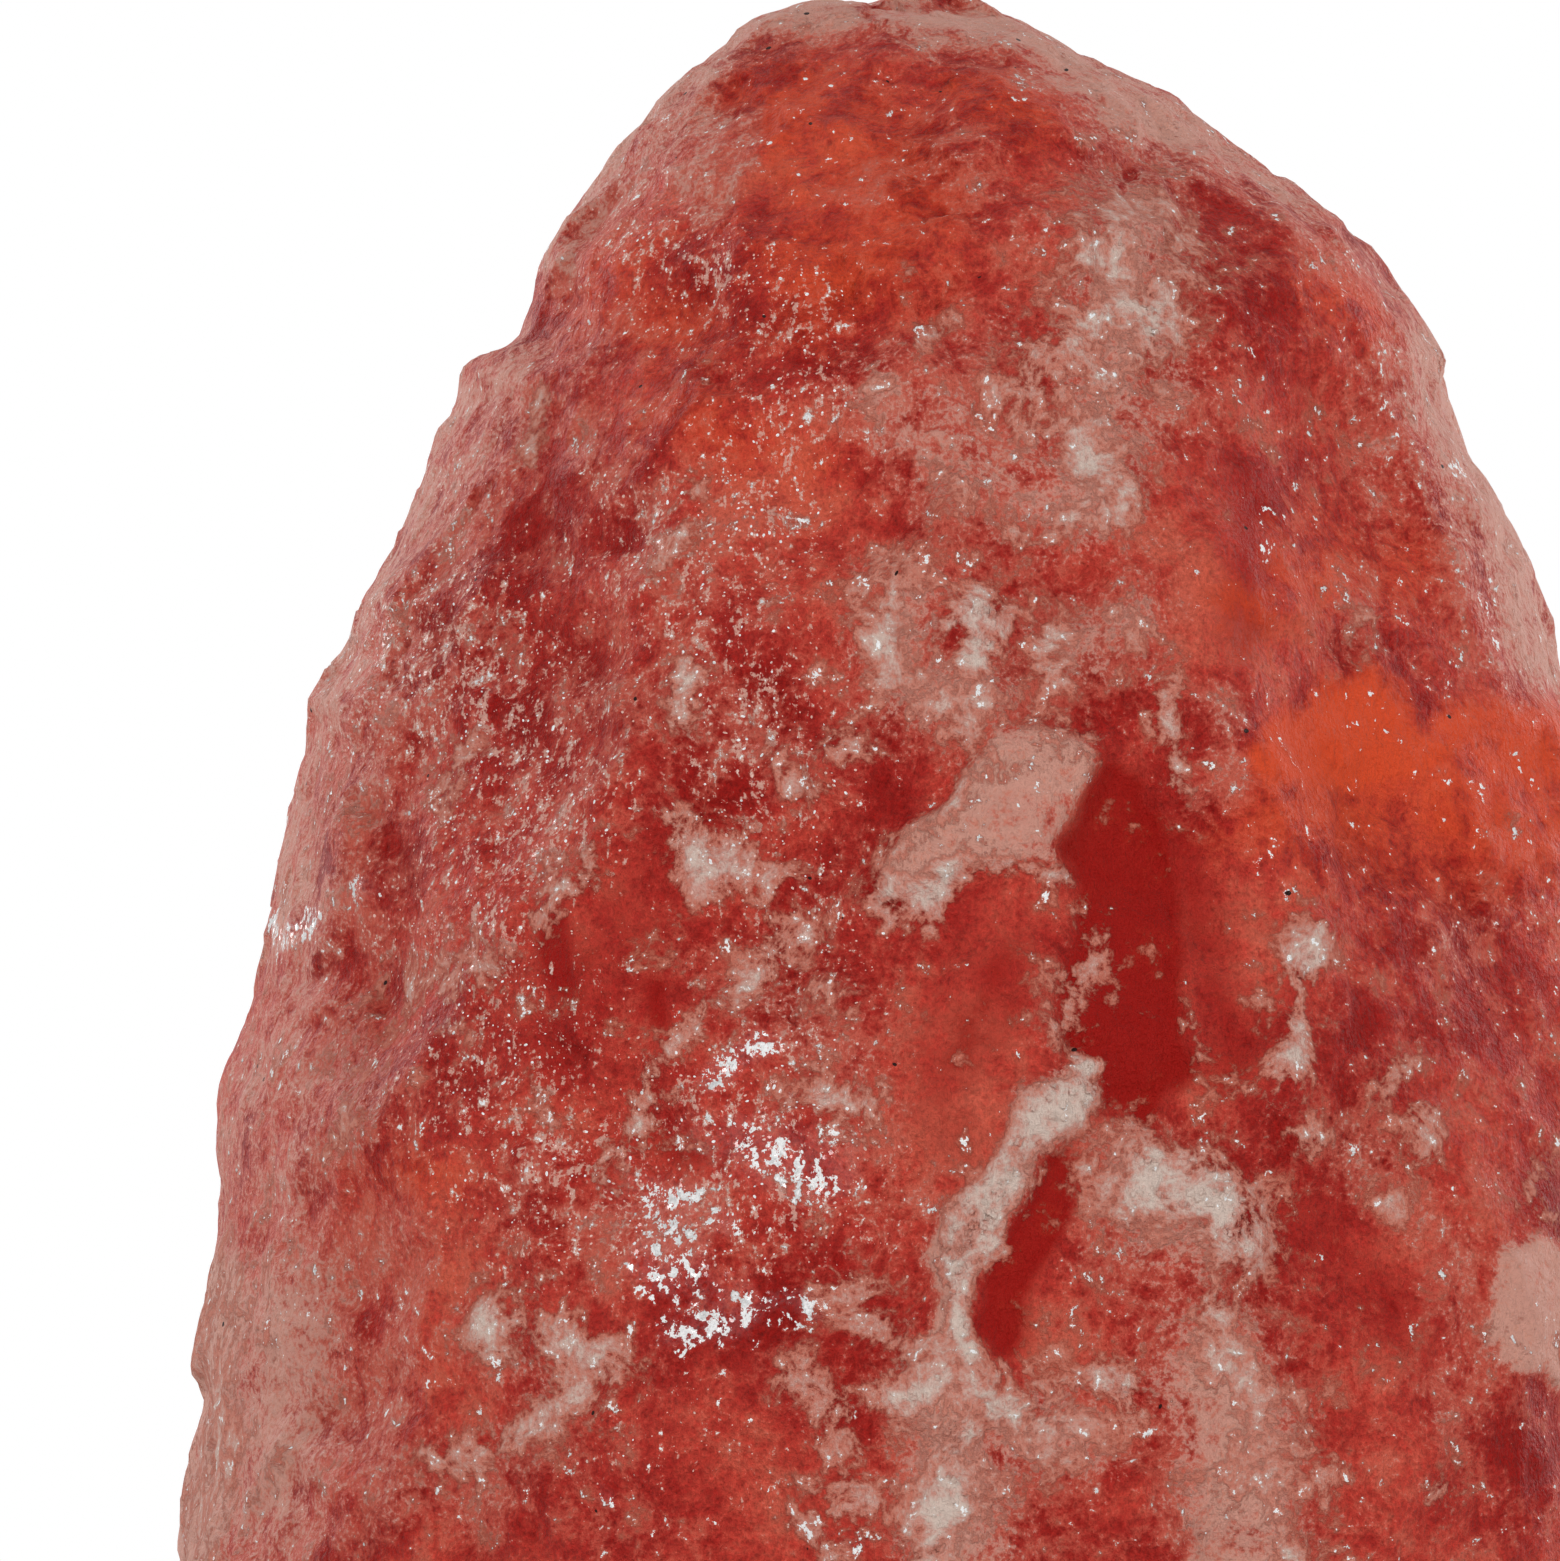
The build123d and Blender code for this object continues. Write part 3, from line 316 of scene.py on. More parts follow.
# %% Patches: half width, soft edge, lift in 0.01 mm, strength in %, then each corner's column and row
patches = {}
patches["crust"] = [
    (40, 102, 35, 100, 1112, 225, 1120, 270, 1145, 335),
    (24, 72, 20, 90, 1150, 205, 1182, 240, 1168, 300), (33, 80, 50, 120, 1150, 312, 1152, 345),
    (30, 80, 20, 90, 1080, 325, 1042, 352, 1036, 384), (20, 64, 20, 90, 1105, 372, 1150, 358),
    (36, 92, 30, 95, 1078, 440, 1112, 470, 1098, 522), (14, 52, 10, 75, 988, 545, 1040, 530, 1080, 545),
    (13, 48, 10, 80, 1012, 400, 1022, 436), (10, 52, 0, 70, 950, 486, 1040, 498),
    (30, 92, 30, 90, 884, 592, 872, 640, 892, 682, 930, 702, 985, 706),
    (20, 48, 60, 125, 952, 630, 985, 612, 980, 662), (30, 100, 20, 85, 1058, 632, 1062, 650),
    (23, 92, 10, 70, 1130, 604, 1142, 640), (14, 44, 30, 105, 1165, 692, 1170, 740, 1176, 790),
    (20, 40, 0, 110, 892, 905, 925, 905, 955, 878), (9, 24, 0, 100, 950, 884, 1010, 876, 1064, 872),
    (12, 40, 0, 90, 975, 755, 955, 800, 905, 850, 888, 890), (16, 60, 20, 85, 1045, 728, 1100, 738),
    (26, 72, 40, 110, 688, 838, 694, 876, 722, 868), (18, 64, 20, 80, 740, 858, 775, 880),
    (14, 48, 30, 95, 543, 922, 563, 890, 588, 848), (12, 48, 20, 85, 668, 566, 684, 525, 700, 492),
    (16, 48, 30, 105, 684, 722, 692, 676), (10, 40, 10, 90, 450, 790, 462, 740),
    (12, 44, 10, 80, 772, 765, 790, 792, 812, 800), (13, 48, 10, 85, 842, 742, 862, 752),
    (16, 52, 25, 95, 700, 1004, 664, 1062, 642, 1120, 610, 1180),
    (18, 56, 20, 90, 792, 926, 768, 965, 742, 1008), (13, 44, 20, 85, 815, 988, 850, 1002),
    (22, 64, 20, 100, 826, 1096, 858, 1104), (16, 72, 10, 80, 398, 1003, 440, 992, 488, 968),
    (14, 72, 10, 70, 350, 1075, 352, 1150, 368, 1190), (28, 72, 30, 95, 500, 1332, 560, 1342, 608, 1370),
    (22, 72, 20, 95, 438, 1455, 500, 1440, 560, 1402), (20, 64, 30, 95, 566, 1388, 602, 1408),
    (12, 52, 10, 85, 522, 1310, 545, 1290), (26, 100, 10, 80, 222, 1270, 206, 1350, 214, 1430, 196, 1520),
    (20, 64, 20, 90, 796, 1380, 832, 1402, 846, 1440), (28, 80, 20, 95, 815, 1530, 862, 1500),
    (0, 26, 90, 100, 1112, 1060, 1086, 1056, 1020, 1092, 1010, 1140, 950, 1206, 934, 1262, 950, 1350,
      976, 1378, 972, 1300, 1006, 1250, 1040, 1160, 1086, 1116, 1112, 1060),
    (36, 84, 50, 100, 902, 1390, 945, 1382, 1000, 1405, 1056, 1432),
    (30, 72, 40, 110, 952, 1440, 956, 1500, 934, 1561), (26, 92, 20, 80, 842, 1268, 888, 1318, 902, 1362),
    (46, 84, 70, 125, 1146, 1182, 1198, 1200, 1232, 1232), (23, 64, 40, 100, 1196, 1282, 1216, 1312),
    (17, 48, 40, 115, 1110, 1386, 1130, 1392), (13, 44, 40, 110, 1152, 1388, 1160, 1394),
    (33, 132, 30, 85, 1212, 1330, 1262, 1400, 1272, 1500, 1290, 1561),
    (23, 64, 50, 100, 1312, 932, 1300, 984, 1290, 1052, 1276, 1094),
    (16, 40, 20, 120, 1304, 952, 1306, 972), (18, 64, 20, 85, 1096, 944, 1074, 1010, 1050, 1030),
    (9, 44, 10, 80, 1130, 1008, 1198, 1032), (12, 44, 10, 90, 1402, 1060, 1388, 1080),
    (18, 60, 20, 90, 1432, 1112, 1440, 1146), (13, 44, 20, 100, 1300, 1130, 1304, 1134),
    (13, 44, 20, 95, 1388, 1200, 1396, 1204), (14, 48, 20, 100, 1440, 1490, 1444, 1510),
    (10, 44, 10, 85, 918, 240, 908, 272), (16, 48, 20, 100, 872, 392, 880, 370),
    (10, 48, 10, 85, 940, 318, 898, 364), (9, 36, 10, 90, 540, 396, 524, 448),
    (12, 48, 10, 70, 690, 372, 745, 378), (13, 44, 10, 90, 1500, 808, 1530, 826),
    (14, 48, 10, 80, 1370, 610, 1358, 650), (18, 72, 10, 75, 1330, 1430, 1322, 1500),
    (18, 60, 20, 85, 1540, 1180, 1556, 1210),
]
patches["veil"] = [
    (-6, 10, 100, 110, 884, 912, 880, 870, 906, 830, 960, 770, 1002, 722, 1060, 728, 1106, 744, 1086,
      790, 1062, 838, 1066, 872, 1020, 876, 960, 888, 914, 914, 884, 912),
    (-4, 12, 30, 75, 700, 92, 764, 100, 768, 140, 746, 200, 720, 232, 690, 222, 640, 160, 652, 112, 700,
      92), (26, 50, 0, 125, 700, 60, 740, 16, 800, 4, 850, 2),
    (30, 50, 0, 130, 900, 6, 1000, 26, 1062, 62),
    (40, 70, 0, 120, 1062, 62, 1110, 96, 1152, 112, 1190, 132), (20, 50, 0, 110, 1190, 120, 1300, 196),
    (34, 60, 0, 110, 700, 60, 640, 120, 590, 190, 552, 250),
    (30, 60, 0, 70, 1100, 330, 1170, 350, 1180, 400, 1100, 480),
    # pale right rim: painted sheen and light through the thin edge, over milky salt
    (36, 130, 0, 150, 1428, 340, 1474, 480, 1515, 570, 1556, 660),
    (24, 60, 0, 90, 1300, 210, 1380, 280, 1430, 350), (14, 40, 0, 60, 1390, 420, 1380, 470, 1360, 640),
    # pale left rim down to the foot: painted sheen and light through the thin edge, over milky salt
    (24, 50, 0, 100, 522, 340, 452, 420, 404, 520, 352, 640, 318, 730, 284, 860, 262, 960),
    (26, 60, 0, 110, 290, 880, 280, 930), (24, 60, 0, 90, 262, 1040, 232, 1100, 214, 1240),
    (40, 60, 0, 125, 214, 1280, 206, 1400, 190, 1561), (40, 120, 0, 50, 620, 480, 700, 640, 560, 800),
    (50, 120, 0, 50, 960, 380, 1000, 520), (26, 60, 0, 50, 640, 300, 560, 400, 600, 470),
    (30, 70, 0, 50, 870, 610, 900, 700, 1010, 700, 1120, 640),
    (44, 90, 10, 75, 1196, 1330, 1240, 1400, 1262, 1500, 1270, 1561),
    (0, 12, 60, 130, 1484, 1290, 1500, 1250, 1540, 1235, 1585, 1262, 1620, 1300, 1590, 1366, 1550, 1392,
      1520, 1370, 1490, 1330, 1484, 1290),
    (0, 16, 0, 125, 1112, 1060, 1086, 1056, 1020, 1092, 1000, 1150, 950, 1206, 924, 1262, 930, 1350, 976,
      1378, 972, 1300, 1006, 1250, 1040, 1160, 1086, 1116, 1112, 1060),
    (60, 80, 10, 110, 1220, 1380, 1240, 1440, 1240, 1561), (50, 80, 10, 100, 940, 1400, 960, 1561),
    (40, 70, 0, 90, 1000, 1430, 1080, 1440), (50, 90, 0, 90, 1130, 220, 1120, 340, 1090, 500),
    (50, 90, 0, 80, 880, 400, 960, 460, 1060, 500), (40, 80, 0, 90, 900, 600, 900, 680, 980, 700),
    (40, 80, 0, 80, 1070, 640, 1130, 620), (60, 90, 0, 80, 1120, 1180, 1180, 1240),
    # pale band inside the left rim: partly painted sheen and light through the thin edge, partly milky salt
    (60, 130, 0, 75, 320, 900, 290, 1040, 280, 1200), (60, 120, 0, 110, 290, 1300, 270, 1500),
    (50, 110, 0, 65, 400, 640, 350, 800), (40, 90, 0, 75, 500, 400, 430, 520),
    (40, 90, 0, 60, 340, 1080, 400, 1290, 380, 1480), (40, 80, 0, 45, 520, 1180, 600, 1240, 700, 1220),
    (40, 80, 0, 50, 740, 1000, 860, 1060, 900, 1200), (50, 110, 0, 45, 590, 690, 730, 730),
    (34, 70, 0, 50, 1340, 1150, 1460, 1250, 1460, 1400),
    (24, 60, 0, 60, 1100, 940, 1060, 1020, 1120, 1080), (30, 60, 0, 50, 470, 1330, 560, 1400, 470, 1500),
    (26, 60, 0, 50, 1440, 940, 1540, 900), (20, 40, 0, 60, 1220, 700, 1240, 780, 1200, 800),
    (34, 70, 0, 45, 860, 200, 960, 160, 1020, 220),
]
patches["window"] = [
    (0, 34, -90, 100, 1106, 748, 1140, 790, 1170, 830, 1190, 900, 1180, 1000, 1190, 1060, 1150, 1130,
      1096, 1110, 1058, 1040, 1074, 900, 1062, 842, 1106, 748),
    (30, 90, -30, 60, 1190, 830, 1210, 960, 1230, 1060),
    (22, 30, -60, 110, 1062, 1170, 1024, 1250, 1000, 1330), (15, 26, -30, 100, 556, 930, 562, 985),
    (10, 24, -20, 90, 648, 990, 652, 1012), (20, 50, -10, 40, 600, 730, 660, 770),
    (18, 40, -20, 60, 664, 1150, 690, 1160), (24, 50, -20, 60, 1250, 500, 1240, 640),
    (60, 120, 0, 50, 1000, 960, 940, 1100), (50, 100, 0, 45, 620, 900, 560, 1050),
    (40, 90, 0, 45, 1300, 1200, 1420, 1340),
]
patches["glow"] = [
    (12, 36, 0, 115, 1268, 752, 1288, 720, 1330, 692, 1362, 682, 1390, 698, 1410, 730, 1440, 745, 1400,
      775, 1340, 790, 1290, 786, 1268, 752),
    (10, 44, 0, 90, 1410, 735, 1450, 712, 1500, 702, 1600, 690, 1600, 800, 1500, 770, 1410, 735),
    (70, 110, 0, 70, 1310, 800, 1420, 800, 1560, 830), (44, 110, 0, 55, 1250, 600, 1330, 560, 1420, 560),
    (24, 50, 0, 60, 742, 84, 790, 132, 800, 200), (34, 70, 0, 45, 560, 290, 640, 330, 700, 320),
    (36, 60, 0, 55, 374, 1180, 436, 1180), (40, 80, 0, 60, 960, 80, 1034, 110),
    (50, 110, 0, 50, 680, 420, 820, 470), (34, 70, 0, 60, 1330, 284, 1384, 334),
    (60, 140, 0, 45, 1330, 850, 1560, 900), (90, 140, 0, 60, 800, 120, 900, 200, 820, 260),
    (60, 110, 0, 50, 600, 260, 680, 320), (40, 90, 0, 40, 440, 1280, 420, 1380),
    (50, 100, 0, 35, 700, 440, 820, 460),
]
# gloss patches: where the coat is glossy, and where white glint flakes are painted into the colour as
# highlights
patches["gloss_and_painted_glint"] = [
    (26, 60, 0, 75, 655, 1200, 700, 1290, 740, 1310), (20, 60, 0, 60, 690, 1150, 830, 1150),
    (8, 12, 0, 100, 655, 1198, 692, 1198), (14, 20, 0, 95, 722, 1072, 762, 1048),
    (20, 34, 0, 90, 740, 1140, 830, 1170), (16, 26, 0, 95, 642, 1262, 668, 1288),
    (16, 26, 0, 95, 668, 1332, 752, 1318), (14, 24, 0, 80, 770, 1300, 806, 1308),
    (10, 18, 0, 90, 725, 1218, 730, 1226), (9, 16, 0, 90, 802, 1190, 806, 1194),
    (12, 24, 0, 70, 800, 1530, 860, 1548), (6, 12, 0, 90, 604, 1490, 610, 1498),
    (14, 26, 0, 95, 280, 928, 310, 926), (8, 16, 0, 80, 364, 890, 372, 894),
    (5, 16, 0, 90, 1262, 500, 1264, 570, 1272, 620), (4, 14, 0, 80, 1392, 420, 1396, 440),
    (5, 14, 0, 80, 1484, 570, 1496, 650), (4, 12, 0, 70, 1452, 470, 1464, 500),
]
# sparkle patches: where the coat glints, and where white and pink glint dots and streaks are painted into the
# colour
patches["sparkle"] = [
    (120, 200, 0, 100, 440, 660, 560, 780, 500, 960, 560, 1160, 780, 1160),
    (90, 160, 0, 90, 660, 540, 760, 700, 760, 860), (60, 140, 0, 80, 720, 1000, 860, 1120),
    (70, 120, 0, 80, 640, 240, 800, 320, 760, 560), (60, 120, 0, 60, 820, 900, 860, 1120),
    (50, 110, 0, 60, 420, 430, 470, 560), (60, 120, 0, 50, 620, 1440, 760, 1450),
]
print({name: len(strokes) for name, strokes in patches.items()})


# %% From strokes to values on the grid
def stroke_distance(places, corners):
    """Distance in pixels from each place to a line of corners, negative inside a closed one."""
    nearest = np.full(len(places), 1e9)
    inside = np.zeros(len(places), bool)
    corners = np.array(corners, float).reshape(-1, 2)
    for start, end in zip(corners[:-1], corners[1:]):
        along = end - start
        share = np.clip((places - start) @ along / (along @ along), 0, 1)
        nearest = np.minimum(nearest, np.hypot(*(places - start - share[:, None] * along).T))
        between = (start[1] > places[:, 1]) != (end[1] > places[:, 1])
        crossing = start[0] + (places[:, 1] - start[1]) / (along[1] or 1e-9) * along[0]
        inside ^= between & (places[:, 0] < crossing)
    return np.where(inside, -nearest, nearest) if (corners[0] == corners[-1]).all() else nearest


def noise_at(size, octaves, shift=0.0):
    """Fractal noise, about -1 to 1, at every grid point. Its largest swings are one size wide."""
    offset = Vector((shift, -shift, 2 * shift))
    return np.array([noise.fractal(Vector(p) / size + offset, 0.9, 2.0, octaves) for p in points])


def painted(strokes):
    """Strength and lift of one kind of patch on the front of the rock."""
    strength, lifted = np.zeros(len(points)), np.zeros(len(points))
    for half_width, soft, lift, most, *corners in strokes:
        depth = half_width - stroke_distance(places, corners)
        strength = np.maximum(strength, most / 100 * np.clip(depth / soft + 0.5, 0, 1))
        raised = lift / 100 * mm * np.clip(depth / rise_over + 0.5, 0, 1)
        lifted = np.where(np.abs(raised) > np.abs(lifted), raised, lifted)
    return strength * front, lifted * front


# %% Where the photograph ends: the strokes wander a little, more on the sides, and give way to noise
rise_over = 16  # pixels over which a raised patch reaches its height
wander_front, wander_sides, wander_edge = 14, 60, 90  # pixels, as is the next line
past_edge, edge_fade = 20, 60
wander_size, rag_size = 0.007, 0.016  # metres, as are the next two lines
front_to_y, front_rag, front_fade = 0.018, 0.014, 0.010
sides_over = 0.012
ragged = noise_at(rag_size, 4, 7.0)
front = np.clip((front_to_y + front_rag * ragged - points[:, 1]) / front_fade, 0, 1)
wander = np.column_stack((noise_at(wander_size, 3, 5.0), noise_at(wander_size, 3, 9.0)))
turned_away = np.clip(points[:, 1] / sides_over + 0.2, 0, 1)[:, None]
places = photo_place(points) + (wander_front + wander_sides * turned_away) * wander
beyond = (places - photo_size[0] - wander_edge * ragged[:, None]).max(axis=1)
front *= np.clip(1 - (beyond - past_edge) / edge_fade, 0, 1)
around = 1 - front
print("strokes place", round(100 * float(front.mean())), "% of the points")

# %% Layers of patches
layers = {name: painted(strokes) for name, strokes in patches.items()}
broad, middling = noise_at(0.022, 3, 1.0), noise_at(0.009, 4, 2.0)
elsewhere = {
    "crust": np.clip(1.5 * broad + 1.9 * middling - 0.25, 0, 1.1),
    "veil": np.clip(1.2 * broad + 0.35, 0, 0.85),
    "window": np.clip(-2.2 * broad - 0.3, 0, 1),
    "glow": np.clip(2.0 * noise_at(0.035, 2, 4.0) - 0.2, 0, 0.8),
    "gloss_and_painted_glint": np.clip(3.0 * middling - 1.6, 0, 0.7),
    "sparkle": np.clip(0.2 - 1.8 * broad, 0, 0.9),
}
fields = {name: layers[name][0] + around * elsewhere[name] for name in layers}
fields["veil"] += 0.4 * fields["crust"] - 0.75 * fields["window"] - 0.5 * fields["glow"]
fields["crust"] -= 0.5 * fields["glow"]
fields["sparkle"] -= fields["window"]
fields["gloss_and_painted_glint"] -= 0.4 * fields["window"]
patch_lift = sum(layers[name][1] for name in layers) + around * np.clip(fields["crust"], 0, 1) * 0.35 * mm
print({name: round(float(values.mean()), 3) for name, values in fields.items()})

# %% [markdown]
# ## The broken surface
# Rock salt splits along flat planes, so its surface is a mosaic of tilted flats, down to single grains.
# Each point finds the nearest seed of a cellular pattern and moves with that seed's own tilted plane.
# Two sizes of flats, soft swells, fine crumbs and the patches' own lift add up to the relief. What is
# finer than the grid is left to the finish's bump.


# %% Relief
def chipped(size, slope, step):
    """Height of a mosaic of tilted flats: each cell has its own slope and its own level."""
    heights, seam = np.zeros(len(points)), 0.22  # the seam is how far two cells blend, as a share of size
    for index, p in enumerate(points):
        place = Vector(p) / size
        distances, seeds = noise.voronoi(place, distance_metric="DISTANCE")
        share = min(1.0, (distances[1] - distances[0]) / seam) / 2 + 0.5
        for seed, weight in ((seeds[0], share), (seeds[1], 1 - share)):
            own = noise.cell_vector(seed * 9.7) * 2 - Vector((1, 1, 1))
            heights[index] += ((place - seed).dot(own) * slope + own.z * step) * size * weight
    return heights


# %% Flats, swells and patches together
large_flats = (0.0105, 0.1, 0.015)  # size in metres, slope, and steps between levels as a share of size
small_flats = (0.0042, 0.12, 0.015)
swell, crumbs, sink, foot_fade = 0.3 * mm, 0.1 * mm, 0.25 * mm, 4 * mm
side = np.roll(grid, -1, axis=1) - np.roll(grid, 1, axis=1)
outward = np.cross(side, np.gradient(grid, axis=0))
outward /= np.linalg.norm(outward, axis=2, keepdims=True)
relief = swell * noise_at(0.024, 2, 3.0)
relief += chipped(*large_flats) + chipped(*small_flats)
relief += crumbs * noise_at(0.0022, 3, 6.0) * (1 + np.clip(fields["crust"], 0, 1))
relief += patch_lift - sink
relief *= np.clip((points[:, 2] - rock_foot_z) / foot_fade, 0, 1)
points += outward.reshape(-1, 3) * relief[:, None]
room = 0.02 * mm
points[:] = np.clip(points, np.array(rock_low) + room, np.array(rock_high) - room)
grid[0, :, 2] = rock_foot_z
print("relief from", round(relief.min() / mm, 2), "to", round(relief.max() / mm, 2), "mm")

# %% Skin the grid
faces = ring_faces(len(grid), columns)
last, tip = (len(grid) - 1) * columns, len(grid) * columns
faces += [(last + n, last + (n + 1) % columns, tip) for n in range(columns)]
faces.append(tuple(reversed(range(columns))))
rock = new_piece("rock_salt_crystal", [*points.tolist(), grid[-1].mean(axis=0).tolist()], faces)
for name, values in fields.items():
    attribute = rock.data.attributes.new(name, "FLOAT", "POINT")
    attribute.data.foreach_set("value", [*values.tolist(), float(values[-columns:].mean())])
rock.data.shade_smooth()
print("rock", len(rock.data.vertices), "points")

# %% [markdown]
# ## Drilling the rock
# The real rock is drilled from below, and so is this one: a turned tool shape with a rounded end is
# taken away from it by a Boolean modifier. Reading the finished mesh back applies the modifier.

# %% Bore
bore_radius, bore_roof_z, roof_round = 0.02202, 0.1205, 0.008
bore_steps = 96
bore_heights = [rock_foot_z - 0.002, *np.linspace(rock_foot_z + 0.004, bore_roof_z - roof_round, 30)]
bore_outline = [(bore_radius, z) for z in bore_heights]
bore_outline += [(bore_radius - roof_round * (1 - cos(a)), bore_roof_z - roof_round * (1 - sin(a)))
                 for a in np.linspace(0.2, pi / 2, 8)]
bore_points = ring_points(bore_outline, bore_steps)
foot_end = tuple(reversed(range(bore_steps)))
roof_end = tuple(range(len(bore_points) - bore_steps, len(bore_points)))
drill = new_piece("drill", bore_points, [*ring_faces(len(bore_outline), bore_steps), foot_end, roof_end])
cut = rock.modifiers.new("bore", "BOOLEAN")
cut.operation, cut.solver, cut.object = "DIFFERENCE", "EXACT", drill


def settle(piece):
    """Swaps a piece's mesh for what its modifiers make of it, and removes them."""
    graph = bpy.context.evaluated_depsgraph_get()
    finished = piece.evaluated_get(graph)
    mesh = bpy.data.meshes.new_from_object(finished, preserve_all_data_layers=True, depsgraph=graph)
    piece.modifiers.clear()
    piece.data = mesh


settle(rock)
bpy.data.objects.remove(drill)
rock.data.set_sharp_from_angle(angle=radians(45))
print("drilled rock", len(rock.data.polygons), "faces")

# %% [markdown]
# ## Rock salt: broken natural crystal
# Rock salt is clear halite coloured by iron. Light comes back out of it deep red where it is clear,
# brick red where it is clouded, orange where it is thin, and nearly white where the surface is crushed
# to crust. The finish lays those looks over each other: clouds of red, windows and glow, a milky veil,
# stipple, pale streaks that are partly painted glints, a ragged crust, white flakes and white and pink
# dots that are painted glints, and specks of clay. Each look follows a layer of patches with its edge
# torn by fractal noise. The smallest crystal faces are a coat whose normal is turned at random in every
# cell of a 0.3 mm pattern, so that here and there one catches a soft box.

# %% Rock salt: patterns, from 14 mm clouds down to 0.4 mm grain
salt, add, shader, spot = new_material("rock_salt_broken")
layer = {name: add("Attribute", out=2, attribute_name=name) for name in fields}
swirl = add("TexNoise", {"Vector": spot, "Scale": 0.2, "Detail": 2.0}, out=1)
bent = add("VectorMath.MULTIPLY_ADD", [swirl, (2.6, 2.6, 2.6), spot])
cloud = add("TexNoise", {"Vector": bent, "Scale": 0.07, "Detail": 9.0, "Roughness": 0.62})
wisp = add("TexNoise", {"Vector": bent, "Scale": 0.24, "Detail": 6.0, "Roughness": 0.6})
mottle = add("TexNoise", {"Vector": bent, "Scale": 0.85, "Detail": 4.0, "Roughness": 0.62})
grain = add("TexNoise", {"Vector": spot, "Scale": 2.6, "Detail": 3.0, "Roughness": 0.65})
slanted = add("Mapping", {0: spot, 2: (0.3, 0.45, 0.2), 3: (1.5, 1.0, 0.42)})
streak = add("TexNoise", {"Vector": slanted, "Scale": 0.9, "Detail": 4.0, "Roughness": 0.7})
texture = add("CombineXYZ", [wisp, mottle, grain])
texture = add("VectorMath.SUBTRACT", [texture, (0.5, 0.5, 0.5)])


def uneven(amount, weights):
    """An amount plus the wisps, the mottle and the grain by their weights."""
    noises = add("VectorMath.DOT_PRODUCT", [texture, weights], out=1)
    return add("Math.ADD", [amount, noises])


def torn(amount, weights, start, end, most=1.0):
    """Share of a look, from 0 to most, as its uneven amount passes from start to end."""
    level = uneven(amount, weights)
    return add("MapRange", {0: level, 1: start, 2: end, 4: most}, **smooth)


# %% Rock salt: looks laid over each other
stone = add("ValToRGB", [uneven(cloud, (0.5, 0.35, 0.0))], stops=(
    (0.33, "#951510"), (0.44, "#A92922"), (0.54, "#C03F32"), (0.66, "#CD5B47")))
crust = torn(layer["crust"], (3.2, 1.8, 0.5), 0.36, 0.66, 0.88)
crust_depth = torn(layer["crust"], (2.4, 1.4, 0.6), 0.35, 1.3)
crust_tint = add("ValToRGB", [crust_depth], stops=(
    (0.0, "#C56854"), (0.3, "#CD8270"), (0.62, "#D09E91"), (1.0, "#DCCABE")))
splinters_and_painted_glints = add("Math.MULTIPLY_ADD", [layer["sparkle"], 0.25, streak])
# where white flakes of painted highlight go: along the gloss patches and the streaks
painted_glint_level = add("Math.MULTIPLY_ADD", [layer["gloss_and_painted_glint"], 0.6, streak])
looks = [  # colour and share: where the layer and the noises start and finish it, and the most of it
    ("#9C110B", torn(layer["window"], (1.2, 0.7, 0.3), 0.15, 0.75, 0.95)),  # clear salt, seen deep into
    ("#E2502A", torn(layer["glow"], (1.8, 1.0, 0.4), 0.05, 1.1, 0.95)),  # thin salt with light behind it
    ("#CC6553", torn(layer["veil"], (3.4, 2.0, 1.0), -0.15, 0.85, 0.85)),  # milky salt under the surface
    ("#D79B86", torn(layer["veil"], (1.8, 1.2, 0.4), 0.55, 1.35, 0.85)),  # thick milk, pale right through
    ("#D19A8C", torn(layer["veil"], (1.6, 2.8, 3.6), 0.5, 1.1, 0.6)),  # stipple of bruised grains
    # pale splinters, partly painted glint streaks where the sparkle patches are
    ("#DDAC9D", torn(splinters_and_painted_glints, (0.3, 1.0, 0.8), 0.78, 0.88, 0.8)),  # splinters
    (crust_tint, crust),
]
tone = add("MapRange", [grain, 0.25, 0.75, 0.6, 1.4])
stone = add("VectorMath.SCALE", {0: stone, 3: tone})
for tint, share in looks:
    stone = add("Mix", {0: share, 6: stone, 7: tint}, **of_colours)

# %% Rock salt: painted glint flakes and dots, and specks of clay
# painted highlights: white flakes in the base colour stand for crystal faces that mirror the soft boxes
painted_glint_flake = torn(painted_glint_level, (0.8, 2.6, 1.2), 1.0, 1.08)
stone = add("Mix", {0: painted_glint_flake, 6: stone, 7: "#FFFFFF"}, **of_colours)
painted_glints_and_clay_specks = [  # cells in a millimetre, largest radius in cells, colour, what makes a cell lucky and how lucky
    # painted glints: white and pale pink dots in the base colour where the sparkle patches are
    (1.9, 0.24, "#FFFFFF", torn(layer["sparkle"], (1.8, 1.2, 0.0), -0.1, 0.8), 1.55, 1.9),
    (2.0, 0.22, "#ECC0B4", torn(layer["sparkle"], (1.6, 1.0, 0.0), -0.4, 0.6), 1.3, 1.9),
    # specks of clay, the salt's own dark colour
    (0.3, 0.065, "#2A1512", 1.0, 1.6, 1.9),
]
for cells, radius, tint, place_share, luck_from, luck_to in painted_glints_and_clay_specks:
    dots = add("TexVoronoi", {"Vector": bent, "Scale": cells}, out=None)
    luck = add("SeparateColor", [dots.outputs["Color"]])
    luck = add("Math.ADD", [luck, place_share])
    size = add("MapRange", {0: luck, 1: luck_from, 2: luck_to, 4: radius})
    inside = add("Math.LESS_THAN", [dots.outputs["Distance"], size])
    stone = add("Mix", {0: inside, 6: stone, 7: tint}, **of_colours)

